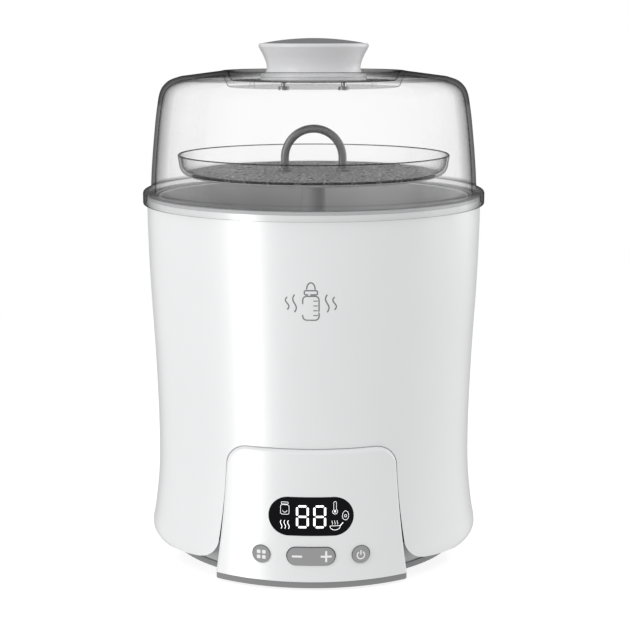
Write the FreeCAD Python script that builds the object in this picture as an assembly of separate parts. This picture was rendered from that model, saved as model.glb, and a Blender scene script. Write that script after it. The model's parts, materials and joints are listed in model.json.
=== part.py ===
"""Countertop bottle steriliser and dryer, modelled as the separate pieces it is assembled from.

Units are millimetres and +Z is up. The control panel faces -Y. The origin is the centre of the
round body on the plane that the rubber feet stand on. Each function below makes one piece, and
each piece is written to its own STEP file in parts/.
"""

import FreeCAD, Part
import math
import os

V = FreeCAD.Vector
UP = V(0, 0, 1)
BACK = V(0, 1, 0)
ORIGIN = V(0, 0, 0)

# ---------------------------------------------------------------- driving dimensions

# base
BASE_BOTTOM = 2.0
BASE_TOP = 6.0
BASE_R = 98.9
BASE_FLOOR = 2.5
BASE_POCKET_R = 88.0
BASE_EDGE_R = 0.6
TONGUE_R = 113.4
TONGUE_TOP = 6.5
TONGUE_HALF_WIDTH = 61.2
TONGUE_BACK_Y = -64.0
FOOT_R = 8.0
FOOT_CIRCLE_R = 78.0
FOOT_SINK = 1.5
BASE_SCREW_CIRCLE_R = 93.5
BASE_SCREW_ANGLES = (30, 150, 205, 335)
SKIRT_FOOT_R = 97.4
SKIRT_TOP_R = (89.0, 91.0)
SKIRT_TOP = 17.0

# outer shell, as radius against height
SHELL_WALL = 2.5
SHELL_TOP = 238.4
SHELL_OUTLINE = (
    (112.1, 13.5), (111.1, 20.5), (109.6, 30), (108.4, 40), (107.5, 50), (107.0, 60), (106.8, 75),
    (106.9, 90), (107.4, 110), (108.1, 130), (109.1, 150), (110.2, 170), (111.1, 190), (111.7, 210),
    (112.0, 225), (112.0, SHELL_TOP),
)
SHELL_FOOT_R = 100.5
SHELL_LIP_R = 98.0
CLAMP_RING_R = (88.6, 99.4)
CLAMP_RING_THICK = 2.5

# control panel
PANEL_TOP = 91.0
PANEL_CORNER = 14.0
PANEL_WALL = 2.4
PANEL_WALL_END_R = 103.2
PANEL_GAP_TOP = 0.4
PANEL_GAP_SIDE = 0.7
PANEL_GAP_LOW = 0.9
PANEL_FACE = (
    (114.3, TONGUE_TOP), (113.2, 15), (111.9, 30), (111.0, 45), (110.5, 60), (110.3, 75), (110.2, 95),
)
PANEL_SIDE = ((61.2, TONGUE_TOP), (57.3, 37), (54.3, 72))
NOTCH_TOP = 27.5
NOTCH_EDGE = ((62.4, 19.8), (68.0, 15.0), (76.5, 12.7), (88.0, 11.3), (100.0, 8.0))
DISPLAY_W, DISPLAY_H, DISPLAY_Z = 53.6, 25.0, 48.6
BUTTON_R = 5.5
BUTTON_X = 31.5
CONTROL_Z = 23.1
ROCKER_W, ROCKER_H = 30.2, 11.0
BUTTON_PROUD = 1.0
BUTTON_FIT = 0.35
BUTTON_FLANGE_Y = -102.7
PLUNGER_END_Y = -99.3
ROCKER_FIT = 0.55
ROCKER_PIVOT_Y = -107.5
ROCKER_PIN_R = 1.2
PIN_CLEARANCE = 0.06

# control electronics
BOARD_FRONT_Y = -94.0
BOARD_THICK = 1.6
BOARD_LOW = 14.0
SWITCH_X = (-BUTTON_X, -11.0, 11.0, BUTTON_X)
SWITCH_TIP_Y = -98.2

# steam chamber
CHAMBER_TOP = 240.4
CHAMBER_RIM_R = 111.6
CHAMBER_TOP_R = 105.4
CHAMBER_LOW_R = 99.6
CHAMBER_LOW_Z = 84.0
CHAMBER_WALL = 2.3
CHAMBER_FLOOR = 80.4
CHAMBER_UNDER = 78.0
CHAMBER_MOUTH_R = 57.0

# heating plate and its clamp
PLATE_R = 55.0
PLATE_FLANGE_R = 62.8
PLATE_THICK = 1.5
GASKET_THICK = 1.4
CLAMP_CIRCLE_R = 66.4
HEATER_R = 38.0
HEATER_TUBE_R = 3.5

# drying air
VENT_X = VENT_Y = 56.4
VENT_TUBE_R = 8.5
VENT_WALL = 1.7
VENT_TOP = 92.5
VENT_FLANGE_R = 11.0
VENT_FLANGE_TOP = 81.8
FAN_X = FAN_Y = 34.0
FAN_HOUSING_R = 29.0
FAN_BOTTOM, FAN_TOP = 12.0, 36.0
FAN_WALL = 2.0
IMPELLER_R = 24.0
FAN_SHAFT_R = 1.5
HEATER_BOX = 18.0
HEATER_BOX_Z = (36.0, 58.0)

# air filter at the back
FILTER_W, FILTER_H, FILTER_Z = 52.0, 30.0, 34.0
FILTER_FIT = 0.5
FILTER_FRONT_Y = 80.0

# mains cord entry at the back
CORD_ANGLE = 118.0
CORD_Z = 22.0
CORD_BORE_R = 3.6

# bottle basket
BASKET_TOP = 239.8
BASKET_TOP_R = 104.6
BASKET_LOW_R = 98.9
BASKET_LOW_Z = 86.0
BASKET_WALL = 2.0
BASKET_FLOOR_Z = 95.5
BASKET_FLOOR_THICK = 2.2
PEG_CIRCLE_R = 58.0
PEG_COUNT = 6
PEG_TOP = 137.0
COLUMN_R = 8.0
COLUMN_BORE_R = 5.9
COLUMN_TOP = 252.0

# accessory tray
TRAY_BOTTOM = 252.4
TRAY_FLOOR = 2.8
TRAY_FLAT_R = 82.0
TRAY_RIM_R = 91.3
TRAY_RIM_Z = 266.4
TRAY_WALL = 1.6
SPIGOT_R = 5.4
SPIGOT_LENGTH = 6.0
HANDLE_R = 19.4
HANDLE_TUBE_R = 2.75
HANDLE_CENTRE_Z = 264.3
HANDLE_PEG_R = 1.9
TRAY_HOLE_RINGS = ((34.0, 12), (52.0, 18), (70.0, 24))
TRAY_HOLE_R = 2.0

# lid
LID_SKIRT_BOTTOM = 234.6
LID_SKIRT_R = 114.8
LID_LEDGE = 240.9
LID_OUTLINE = (
    (109.3, 246.6), (108.7, 257), (107.7, 269), (106.6, 280), (105.4, 291), (104.1, 300), (103.0, 306),
    (101.6, 310), (99.3, 313.3), (95.4, 316.3), (89.0, 318.5),
)
LID_INLINE = (
    (106.9, 246.6), (106.3, 257), (105.3, 269), (104.2, 280), (103.0, 290.6), (101.7, 299.2), (100.7, 304.6),
    (99.5, 308), (97.5, 310.8), (94.2, 313.4), (88.6, 315.8),
)
LID_RIDGE_R, LID_RIDGE_Z = 60.0, 322.4
WELL_R, WELL_FLOOR, WELL_THICK = 55.0, 315.8, 4.2
STEAM_HOLE_R, STEAM_HOLE_CIRCLE_R = 1.6, 46.0

# knob
KNOB_OUTLINE = (
    (32.3, 320.8), (31.3, 323.2), (31.3, 325.4), (32.0, 328.2), (33.3, 331.6), (35.0, 334.9), (36.3, 337.3),
)
KNOB_FLANGE_R = 35.4
KNOB_FLANGE_TOP = 320.4
KNOB_TOP_R = 36.6
KNOB_TOP = 340.1
CAP_R = 34.4
CAP_SEAT = 337.9
CAP_APEX = 343.5
KNOB_SCREW_X = 20.0
SCREW_R = 1.5

# ---------------------------------------------------------------- helpers


def point(rz):
    """A point given as (radius, height), in the XZ plane."""
    return V(rz[0], 0, rz[1])


def line(a, b):
    return Part.makeLine(point(a), point(b))


def arc(a, through, b):
    return Part.Arc(point(a), point(through), point(b)).toShape()


def curve(points, start=None, end=None):
    """A smooth curve through (radius, height) points, with the end directions where they are given."""
    spline = Part.BSplineCurve()
    options = {"Points": [point(p) for p in points]}
    if start and end:
        options.update(InitialTangent=point(start), FinalTangent=point(end))
    spline.interpolate(**options)
    return spline.toShape()


def path(*points):
    """Straight edges from each point to the next."""
    return [line(a, b) for a, b in zip(points, points[1:])]


def revolve(edges):
    """The solid of revolution about Z of a closed (radius, height) outline."""
    face = Part.Face(Part.Wire(Part.__sortEdges__(edges)))
    solid = face.revolve(ORIGIN, UP, 360)
    if solid.Volume < 0:
        solid.reverse()
    return solid


def turned(*points):
    """A solid of revolution whose outline has straight edges."""
    return revolve(path(*points, points[0]))


def tube(inner, outer, low, high):
    return turned((inner, low), (outer, low), (outer, high), (inner, high))


def rod(radius, low, high, x=0.0, y=0.0):
    """An upright cylinder."""
    return Part.makeCylinder(radius, high - low, V(x, y, low), UP)


def pin(radius, x, z, front, back):
    """A cylinder along Y, from y = front to y = back."""
    return Part.makeCylinder(radius, back - front, V(x, front, z), BACK)


def block(x0, x1, y0, y1, z0, z1):
    return Part.makeBox(x1 - x0, y1 - y0, z1 - z0, V(x0, y0, z0))


def polar(radius, degrees):
    a = math.radians(degrees)
    return radius * math.cos(a), radius * math.sin(a)


def spun(shape, degrees):
    copy = shape.copy()
    copy.rotate(ORIGIN, UP, degrees)
    return copy


def around(shape, count, first=0.0):
    """Copies of a shape, evenly spaced about Z."""
    return [spun(shape, first + i * 360.0 / count) for i in range(count)]


def upright(edges, front, back):
    """A prism along Y of a closed outline drawn in the XZ plane."""
    face = Part.Face(Part.Wire(Part.__sortEdges__(edges)))
    face.translate(V(0, front, 0))
    return face.extrude(V(0, back - front, 0))


def stadium(width, height, x, z, front, back):
    """A prism along Y with fully rounded ends."""
    r = height / 2
    half = width / 2 - r
    edges = [
        line((x - half, z - r), (x + half, z - r)),
        arc((x + half, z - r), (x + half + r, z), (x + half, z + r)),
        line((x + half, z + r), (x - half, z + r)),
        arc((x - half, z + r), (x - half - r, z), (x - half, z - r)),
    ]
    return upright(edges, front, back)


def rounded_box(width, height, z, corner, front, back):
    """A box along Y, centred on x = 0, with its four long edges rounded."""
    solid = block(-width / 2, width / 2, front, back, z - height / 2, z + height / 2)
    return solid.makeFillet(corner, [e for e in solid.Edges if abs(e.tangentAt(e.FirstParameter).y) > 0.9])


def smooth(shape, radius, chosen):
    """The shape with the chosen edges rounded."""
    return shape.makeFillet(radius, [e for e in shape.Edges if chosen(e)])


# ---------------------------------------------------------------- base


def panel_half_width(z):
    """Half the width of the control panel at height z."""
    (w0, z0), (w1, z1), (w2, z2) = PANEL_SIDE
    if z < z1:
        return w0 + (w1 - w0) * (z - z0) / (z1 - z0)
    return w1 + (w2 - w1) * (z - z1) / (z2 - z1)


def base_plate():
    plate = rod(BASE_R, BASE_BOTTOM, BASE_TOP)
    plate = smooth(plate, BASE_EDGE_R, lambda e: e.BoundBox.ZMax < BASE_BOTTOM + 0.01)
    tongue = rod(TONGUE_R, BASE_BOTTOM, TONGUE_TOP).common(
        block(-TONGUE_HALF_WIDTH, TONGUE_HALF_WIDTH, -TONGUE_R, TONGUE_BACK_Y, BASE_BOTTOM, TONGUE_TOP)
    )
    tongue = smooth(tongue, 3.0, lambda e: e.BoundBox.ZLength > 3 and e.BoundBox.YMin < -90)
    under, front = BASE_BOTTOM + 0.01, TONGUE_BACK_Y - 0.1
    tongue = smooth(tongue, BASE_EDGE_R, lambda e: e.BoundBox.ZMax < under and e.BoundBox.YMin < front)
    plate = plate.fuse(tongue).removeSplitter()
    pocket = rod(BASE_POCKET_R, BASE_BOTTOM + BASE_FLOOR, BASE_TOP + 1)
    plate = plate.cut(pocket.cut(block(-100, 100, -100, -58, 0, BASE_TOP + 2)))
    for x, y in (polar(FOOT_CIRCLE_R, a) for a in (45, 135, 225, 315)):
        plate = plate.cut(rod(FOOT_R, BASE_BOTTOM, BASE_BOTTOM + FOOT_SINK, x, y))
    for x, y in (polar(BASE_SCREW_CIRCLE_R, a) for a in BASE_SCREW_ANGLES):
        plate = plate.cut(rod(SCREW_R + 0.2, BASE_BOTTOM, BASE_TOP, x, y))
        plate = plate.cut(rod(3.7, BASE_BOTTOM, BASE_BOTTOM + 2, x, y))
    floor_top = BASE_BOTTOM + BASE_FLOOR
    for i in range(6):
        y = FAN_Y - 24 + 7 * i
        plate = plate.cut(block(FAN_X - 15, FAN_X + 13, y - 1.5, y + 1.5, BASE_BOTTOM, floor_top))
    posts = [rod(2.6, floor_top, BOARD_LOW, x, y) for x in (-71, -23) for y in (-33, 37)]
    return plate.multiFuse(posts).removeSplitter()


def panel_skirt():
    """Two sloping blocks on the base that close the gaps beside the foot of the panel."""
    inner, outer = SKIRT_TOP_R
    ring = turned((inner, BASE_TOP), (SKIRT_FOOT_R, BASE_TOP), (outer, SKIRT_TOP), (inner, SKIRT_TOP))
    ring = ring.cut(block(-TONGUE_HALF_WIDTH, TONGUE_HALF_WIDTH, -TONGUE_R, TONGUE_BACK_Y, 0, TONGUE_TOP))
    blocks = [ring.common(block(x, x + 40, -100, -48, 0, SKIRT_TOP + 1)) for x in (-90, 50)]
    return Part.Compound(blocks)


def rubber_feet():
    feet = [rod(FOOT_R, 0, BASE_BOTTOM + FOOT_SINK, *polar(FOOT_CIRCLE_R, a)) for a in (45, 135, 225, 315)]
    return Part.Compound([smooth(f, 0.8, lambda e: e.BoundBox.ZMax < 0.01) for f in feet])


def screw(x, y, head_low, head_high, tip, head_r=3.4):
    """A pan-head screw with its head between two heights and its tip above or below."""
    shank = rod(SCREW_R, min(head_high, tip), max(head_high, tip), x, y)
    head = rod(head_r, head_low, head_high, x, y)
    slots = [
        block(x - 2, x + 2, y - 0.4, y + 0.4, head_low, head_low + 0.9),
        block(x - 0.4, x + 0.4, y - 2, y + 2, head_low, head_low + 0.9),
    ]
    return head.fuse(shank).cut(slots[0]).cut(slots[1]).removeSplitter()


def base_screws():
    spots = [polar(BASE_SCREW_CIRCLE_R, a) for a in BASE_SCREW_ANGLES]
    return Part.Compound([screw(x, y, BASE_BOTTOM + 0.2, BASE_BOTTOM + 2, 20) for x, y in spots])


# ---------------------------------------------------------------- outer shell


def shell_inner():
    return [(r - SHELL_WALL, z) for r, z in SHELL_OUTLINE]


def panel_cutout():
    """The opening in the shell round the panel. Its lower corners sweep out and lift the shell's foot."""
    low, high = BASE_TOP - 2, PANEL_TOP + PANEL_GAP_TOP
    corner = PANEL_CORNER + PANEL_GAP_TOP
    top_x = panel_half_width(high - corner) + PANEL_GAP_TOP
    mid_z = PANEL_SIDE[1][1]
    mid_x = panel_half_width(mid_z) + PANEL_GAP_SIDE
    bend_x = panel_half_width(NOTCH_TOP) + PANEL_GAP_LOW
    end_x, end_z = NOTCH_EDGE[-1]
    s = math.sqrt(0.5)
    edges = [line((-top_x + corner, high), (top_x - corner, high)), line((-end_x, low), (end_x, low))]
    for side in (-1, 1):
        sweep = [(side * x, z) for x, z in ((bend_x, NOTCH_TOP),) + NOTCH_EDGE]
        edges += [
            arc(
                (side * top_x, high - corner),
                (side * (top_x - corner * (1 - s)), high - corner * (1 - s)),
                (side * (top_x - corner), high),
            ),
            arc((side * bend_x, NOTCH_TOP), (side * mid_x, mid_z), (side * top_x, high - corner)),
            curve(sweep, (side * 0.13, -1), (side * 0.9, -0.3)),
            line((side * end_x, end_z), (side * end_x, low)),
        ]
    return upright(edges, -125, -45)


def outer_shell():
    inner = shell_inner()
    top_out, top_in = SHELL_OUTLINE[-1], inner[-1]
    lip_top = BASE_TOP + SHELL_WALL
    foot_out, foot_in = (SHELL_FOOT_R, BASE_TOP), (SHELL_FOOT_R, lip_top)
    edges = [
        curve(SHELL_OUTLINE, (0, 1), (0, 1)),
        line(top_out, top_in),
        curve(inner, (0, 1), (0, 1)),
        curve([foot_out, (108.8, 8.2), SHELL_OUTLINE[0]], (1, 0), (0, 1)),
        curve([foot_in, (106.9, 10.3), inner[0]], (1, 0), (0, 1)),
    ]
    edges += path(foot_out, (SHELL_LIP_R, BASE_TOP), (SHELL_LIP_R, lip_top), foot_in)
    shell = revolve(edges).cut(panel_cutout())
    fit = 2 * FILTER_FIT
    shell = shell.cut(rounded_box(FILTER_W + fit, FILTER_H + fit, FILTER_Z, 4.5, 90, 125))
    hole = Part.makeCylinder(6.2, 20, V(100, 0, CORD_Z), V(1, 0, 0))
    return shell.cut(spun(hole, CORD_ANGLE)).removeSplitter()


def shell_ring():
    """The ring inside the shell that the base screws pull down on the shell's lip."""
    low = BASE_TOP + SHELL_WALL
    high = low + CLAMP_RING_THICK
    ring = tube(*CLAMP_RING_R, low, high)
    spots = [polar(BASE_SCREW_CIRCLE_R, a) for a in BASE_SCREW_ANGLES]
    ring = ring.multiFuse([rod(4.2, BASE_TOP, 24, x, y) for x, y in spots])
    for x, y in spots:
        ring = ring.cut(rod(SCREW_R, BASE_TOP - 1, 25, x, y))
    return ring.cut(block(-100, 100, -110, -46, 0, 30)).removeSplitter()


# ---------------------------------------------------------------- control panel


def panel_drum(offset=0.0):
    """The solid inside the panel's front face, moved in or out by offset."""
    (low_r, low_z), (high_r, high_z) = PANEL_FACE[0], PANEL_FACE[-1]
    face = [(r + offset, z) for r, z in PANEL_FACE]
    low = (low_r + offset, low_z)
    high = (high_r + offset, high_z)
    return revolve([curve(face)] + path(high, (0, high_z), (0, low_z), low))


def panel_prism(inset=0.0):
    """The panel's outline seen from the front, as a prism along Y."""
    low = TONGUE_TOP
    high = PANEL_TOP - inset
    corner = PANEL_CORNER - inset
    mid_z = PANEL_SIDE[1][1]
    low_x, mid_x, top_x = (panel_half_width(z) - inset for z in (low, mid_z, high - corner))
    s = math.sqrt(0.5)
    edges = [line((-top_x + corner, high), (top_x - corner, high)), line((-low_x, low), (low_x, low))]
    for side in (-1, 1):
        edges += [
            arc(
                (side * top_x, high - corner),
                (side * (top_x - corner * (1 - s)), high - corner * (1 - s)),
                (side * (top_x - corner), high),
            ),
            arc((side * low_x, low), (side * mid_x, mid_z), (side * top_x, high - corner)),
        ]
    return upright(edges, -125, -60)


def panel_housing():
    body = panel_prism().common(panel_drum())
    body = smooth(body, 2.6, lambda e: e.BoundBox.ZMax > TONGUE_TOP + 1 and front_edge(e))
    body = body.cut(rod(PANEL_WALL_END_R, 0, PANEL_TOP + 5))
    hollow = panel_prism(PANEL_WALL).common(panel_drum(-PANEL_WALL))
    body = body.cut(hollow)
    body = body.cut(stadium(DISPLAY_W + 0.2, DISPLAY_H + 0.2, 0, DISPLAY_Z, -125, -100))
    for x in (-BUTTON_X, BUTTON_X):
        body = body.cut(pin(BUTTON_R + BUTTON_FIT, x, CONTROL_Z, -125, -98))
    body = body.cut(stadium(ROCKER_W + 2 * ROCKER_FIT, ROCKER_H + 2 * ROCKER_FIT, 0, CONTROL_Z, -125, -100))
    drum = panel_drum(-PANEL_WALL / 2)
    for x in (-42, 42):
        for z in (14, 66):
            body = body.fuse(pin(2.4, x, z, -108, BOARD_FRONT_Y).common(drum))
    for z in (CONTROL_Z - 9.6, CONTROL_Z + 7.2):
        lug = block(-3, 3, -114, ROCKER_PIVOT_Y + 2.4, z, z + 2.4).common(drum)
        hole = rod(ROCKER_PIN_R + PIN_CLEARANCE, z - 1, z + 4, 0, ROCKER_PIVOT_Y)
        body = body.fuse(lug.cut(hole))
    return body.removeSplitter()


def front_edge(edge):
    """True for the edges between the panel's front face and its sides."""
    p = edge.valueAt((edge.FirstParameter + edge.LastParameter) / 2)
    return math.hypot(p.x, p.y) > 109


def display_window():
    lens = stadium(DISPLAY_W, DISPLAY_H, 0, DISPLAY_Z, -125, -95)
    return lens.common(panel_drum(-0.1)).cut(panel_drum(-2.0))


def display_module():
    case = block(-22, 22, -104, BOARD_FRONT_Y, DISPLAY_Z - 11, DISPLAY_Z + 11)
    bars = []
    for x in (-7.6, -2.6 + 4.2):
        bars += [block(x, x + 4.6, -104.4, -104, DISPLAY_Z + dz, DISPLAY_Z + dz + 1) for dz in (-6, -0.5, 5)]
    return case.multiFuse(bars).removeSplitter()


def push_button(x):
    cap = pin(BUTTON_R, x, CONTROL_Z, -120, -102).common(panel_drum(BUTTON_PROUD))
    flange = pin(BUTTON_R + 1.3, x, CONTROL_Z, BUTTON_FLANGE_Y, BUTTON_FLANGE_Y + 1.2)
    stem = pin(2.5, x, CONTROL_Z, BUTTON_FLANGE_Y + 1, PLUNGER_END_Y)
    return cap.fuse(flange).fuse(stem).removeSplitter()


def adjust_rocker():
    cap = stadium(ROCKER_W, ROCKER_H, 0, CONTROL_Z, -120, -105).common(panel_drum(BUTTON_PROUD))
    pivot = rod(ROCKER_PIN_R, CONTROL_Z - 9.2, CONTROL_Z + 9.2, 0, ROCKER_PIVOT_Y)
    stems = [pin(2.0, x, CONTROL_Z, -106, PLUNGER_END_Y) for x in SWITCH_X[1:3]]
    return cap.multiFuse([pivot] + stems).removeSplitter()


def control_board():
    board = block(-44, 44, BOARD_FRONT_Y, BOARD_FRONT_Y + BOARD_THICK, 9, 70)
    socket = block(20, 34, BOARD_FRONT_Y + BOARD_THICK, BOARD_FRONT_Y + BOARD_THICK + 6, 44, 52)
    chip = block(-20, -8, BOARD_FRONT_Y + BOARD_THICK, BOARD_FRONT_Y + BOARD_THICK + 1.5, 40, 52)
    return board.multiFuse([socket, chip]).removeSplitter()


def tact_switches():
    switches = []
    for x in SWITCH_X:
        case = block(x - 3, x + 3, -97, BOARD_FRONT_Y, CONTROL_Z - 3, CONTROL_Z + 3)
        switches.append(case.fuse(pin(1.6, x, CONTROL_Z, SWITCH_TIP_Y, -97)).removeSplitter())
    return Part.Compound(switches)


# ---------------------------------------------------------------- power electronics and mains entry


def power_board():
    return block(-76, -18, -38, 42, BOARD_LOW, BOARD_LOW + BOARD_THICK)


def power_components():
    """A transformer, a relay, a connector, a choke and two capacitors."""
    top = BOARD_LOW + BOARD_THICK
    parts = [
        block(-72, -48, -28, -8, top, top + 18),
        block(-72, -54, 0, 15, top, top + 15.5),
        block(-44, -28, 20, 32, top, top + 11),
        rod(6, top, top + 20, -34, -20),
        rod(4, top, top + 12, -34, 2),
        block(-66, -50, 22, 34, top, top + 13),
    ]
    return Part.Compound(parts)


def cord_gland():
    """A stepped rubber bush in the shell's cord hole, bored for the mains cord."""
    bush = [
        (CORD_BORE_R, 104.6), (7.2, 104.6), (7.2, 106.8), (6.1, 106.8), (6.1, 112.3), (8.2, 112.3),
        (7.4, 114.2), (CORD_BORE_R, 114.2),
    ]
    gland = turned(*bush)
    gland.rotate(ORIGIN, BACK, 90)
    gland.translate(V(0, 0, CORD_Z))
    return spun(gland, CORD_ANGLE)


def terminal_block():
    body = block(-48, -24, 56, 68, BASE_BOTTOM + BASE_FLOOR, 17)
    for x in (-44, -36, -28):
        body = body.cut(rod(1.8, 12, 18, x, 59)).cut(pin(1.6, x, 10, 62, 69))
    return body


# ---------------------------------------------------------------- steam chamber and its heater


def steam_chamber():
    inner_floor = (CHAMBER_LOW_R - 3.6, CHAMBER_FLOOR)
    outer_low = (CHAMBER_LOW_R + CHAMBER_WALL, CHAMBER_LOW_Z)
    outer_floor = (CHAMBER_LOW_R - 3.7, CHAMBER_UNDER)
    outer_top = (CHAMBER_TOP_R + CHAMBER_WALL, SHELL_TOP)
    edges = path((CHAMBER_RIM_R, SHELL_TOP), (CHAMBER_RIM_R, CHAMBER_TOP - 0.6))
    edges += [
        arc(
            (CHAMBER_RIM_R, CHAMBER_TOP - 0.6),
            (CHAMBER_RIM_R - 0.18, CHAMBER_TOP - 0.18),
            (CHAMBER_RIM_R - 0.6, CHAMBER_TOP),
        ),
    ]
    edges += path(
        (CHAMBER_RIM_R - 0.6, CHAMBER_TOP), (CHAMBER_TOP_R, CHAMBER_TOP), (CHAMBER_LOW_R, CHAMBER_LOW_Z)
    )
    edges += [
        arc(
            (CHAMBER_LOW_R, CHAMBER_LOW_Z),
            (CHAMBER_LOW_R - 1.05, CHAMBER_FLOOR + 1.05),
            inner_floor,
        ),
    ]
    edges += path(
        inner_floor, (CHAMBER_MOUTH_R, CHAMBER_FLOOR), (CHAMBER_MOUTH_R, CHAMBER_UNDER), outer_floor
    )
    edges += [arc(outer_floor, (CHAMBER_LOW_R + 0.7, CHAMBER_UNDER + 1.6), outer_low)]
    edges += path(outer_low, outer_top, (CHAMBER_RIM_R, SHELL_TOP))
    chamber = revolve(edges)
    chamber = chamber.fuse(tube(CLAMP_CIRCLE_R - 3.2, CLAMP_CIRCLE_R + 3.2, clamp_top(), CHAMBER_UNDER))
    for x, y in (polar(CLAMP_CIRCLE_R, a) for a in (0, 90, 180, 270)):
        chamber = chamber.cut(rod(SCREW_R, clamp_top() - 1, CHAMBER_FLOOR - 1, x, y))
    return chamber.cut(rod(VENT_TUBE_R + 0.05, CHAMBER_UNDER - 1, CHAMBER_FLOOR + 1, VENT_X, VENT_Y))


def air_hood():
    """A capped pipe through the chamber's floor that lets warm air in at its side."""
    inner = VENT_TUBE_R - VENT_WALL
    edges = path(
        (inner, 76), (VENT_TUBE_R, 76), (VENT_TUBE_R, CHAMBER_FLOOR), (VENT_FLANGE_R, CHAMBER_FLOOR),
        (VENT_FLANGE_R, VENT_FLANGE_TOP), (VENT_TUBE_R, VENT_FLANGE_TOP), (VENT_TUBE_R, VENT_TOP - 1.5),
        (VENT_TUBE_R - 1.5, VENT_TOP), (0, VENT_TOP), (0, VENT_TOP - VENT_WALL),
        (inner, VENT_TOP - VENT_WALL), (inner, 76),
    )
    window = block(-VENT_TUBE_R - 2, 0, -5, 5, 84, VENT_TOP - VENT_WALL)
    hood = revolve(edges).cut(spun(window, 45))
    hood.translate(V(VENT_X, VENT_Y, 0))
    return hood


def clamp_top():
    return CHAMBER_UNDER - GASKET_THICK - PLATE_THICK


def plate_bottom():
    return CHAMBER_UNDER - GASKET_THICK - 8.0


def heating_plate():
    rim = CHAMBER_UNDER - GASKET_THICK
    low = plate_bottom()
    inner = PLATE_R - PLATE_THICK
    return turned(
        (0, low), (PLATE_R - 2, low), (PLATE_R, low + 2), (PLATE_R, rim - PLATE_THICK),
        (PLATE_FLANGE_R, rim - PLATE_THICK), (PLATE_FLANGE_R, rim), (inner, rim),
        (inner, low + 2.6), (inner - 1.1, low + PLATE_THICK), (0, low + PLATE_THICK),
    )


def plate_gasket():
    return tube(CHAMBER_MOUTH_R + 0.4, PLATE_FLANGE_R, CHAMBER_UNDER - GASKET_THICK, CHAMBER_UNDER)


def clamp_ring():
    ring = tube(PLATE_R + 1, CLAMP_CIRCLE_R + 3.6, clamp_top() - 1.5, clamp_top())
    for x, y in (polar(CLAMP_CIRCLE_R, a) for a in (0, 90, 180, 270)):
        ring = ring.cut(rod(SCREW_R + 0.2, clamp_top() - 2, clamp_top() + 1, x, y))
    return ring


def clamp_screws():
    low = clamp_top() - 1.5
    spots = [polar(CLAMP_CIRCLE_R, a) for a in (0, 90, 180, 270)]
    return Part.Compound([screw(x, y, low - 2, low, CHAMBER_FLOOR - 1.2, 3.0) for x, y in spots])


def heater_block():
    """The aluminium ring that carries the heating element under the plate."""
    low = plate_bottom() - 5.5
    ring = tube(HEATER_R - 7, HEATER_R + 7, low, plate_bottom())
    groove = Part.makeTorus(HEATER_R, HEATER_TUBE_R + 0.05, V(0, 0, low), UP)
    return ring.cut(groove)


def heater_element():
    """A sheathed element: most of a turn, with two cold ends that point down."""
    z = plate_bottom() - 5.5
    loop = Part.makeTorus(HEATER_R, HEATER_TUBE_R, V(0, 0, z), UP, -180, 180, 320)
    ends = []
    for a in (0, 320):
        x, y = polar(HEATER_R, a)
        ends.append(rod(HEATER_TUBE_R, z - 9, z, x, y).fuse(Part.makeSphere(HEATER_TUBE_R, V(x, y, z))))
        ends.append(rod(1.2, z - 14, z - 8, x, y))
    return loop.multiFuse(ends).removeSplitter()


def thermostat():
    top = plate_bottom()
    can = rod(8, top - 5, top)
    neck = rod(6.5, top - 11, top - 5)
    tabs = [block(x - 0.4, x + 0.4, -3, 3, top - 17, top - 10) for x in (-4, 4)]
    return can.multiFuse([neck] + tabs).removeSplitter()


def thermal_fuse():
    body = Part.makeCylinder(2.2, 12, V(-6, 22, plate_bottom() - 2.2), V(1, 0, 0))
    leads = Part.makeCylinder(0.5, 30, V(-15, 22, plate_bottom() - 2.2), V(1, 0, 0))
    return body.fuse(leads).removeSplitter()


# ---------------------------------------------------------------- drying air


def fan_housing():
    corner = VENT_X + HEATER_BOX / 2
    outer = rod(FAN_HOUSING_R, FAN_BOTTOM, FAN_TOP, FAN_X, FAN_Y)
    outer = outer.fuse(block(FAN_X, corner, FAN_Y, corner, FAN_BOTTOM, FAN_TOP)).removeSplitter()
    w = FAN_WALL
    inner = rod(FAN_HOUSING_R - w, FAN_BOTTOM + w, FAN_TOP - w, FAN_X, FAN_Y)
    inner = inner.fuse(block(FAN_X, corner - w, FAN_Y, corner - w, FAN_BOTTOM + w, FAN_TOP - w))
    housing = outer.cut(inner.removeSplitter())
    housing = housing.cut(rod(14, FAN_TOP - w - 1, FAN_TOP + 1, FAN_X, FAN_Y))
    half = HEATER_BOX / 2 - w
    outlet = block(VENT_X - half, VENT_X + half, VENT_Y - half, VENT_Y + half, FAN_TOP - w - 1, FAN_TOP + 1)
    spots = ((20, 56), (56, 16), (20, 20), (60, 60))
    feet = [rod(3, BASE_BOTTOM + BASE_FLOOR, FAN_BOTTOM, x, y) for x, y in spots]
    return housing.cut(outlet).multiFuse(feet).removeSplitter()


def fan_motor():
    low = FAN_BOTTOM + FAN_WALL
    shaft_hole = rod(FAN_SHAFT_R + 0.05, low + 1, low + 13, FAN_X, FAN_Y)
    return rod(9.2, low, low + 12, FAN_X, FAN_Y).cut(shaft_hole)


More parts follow.
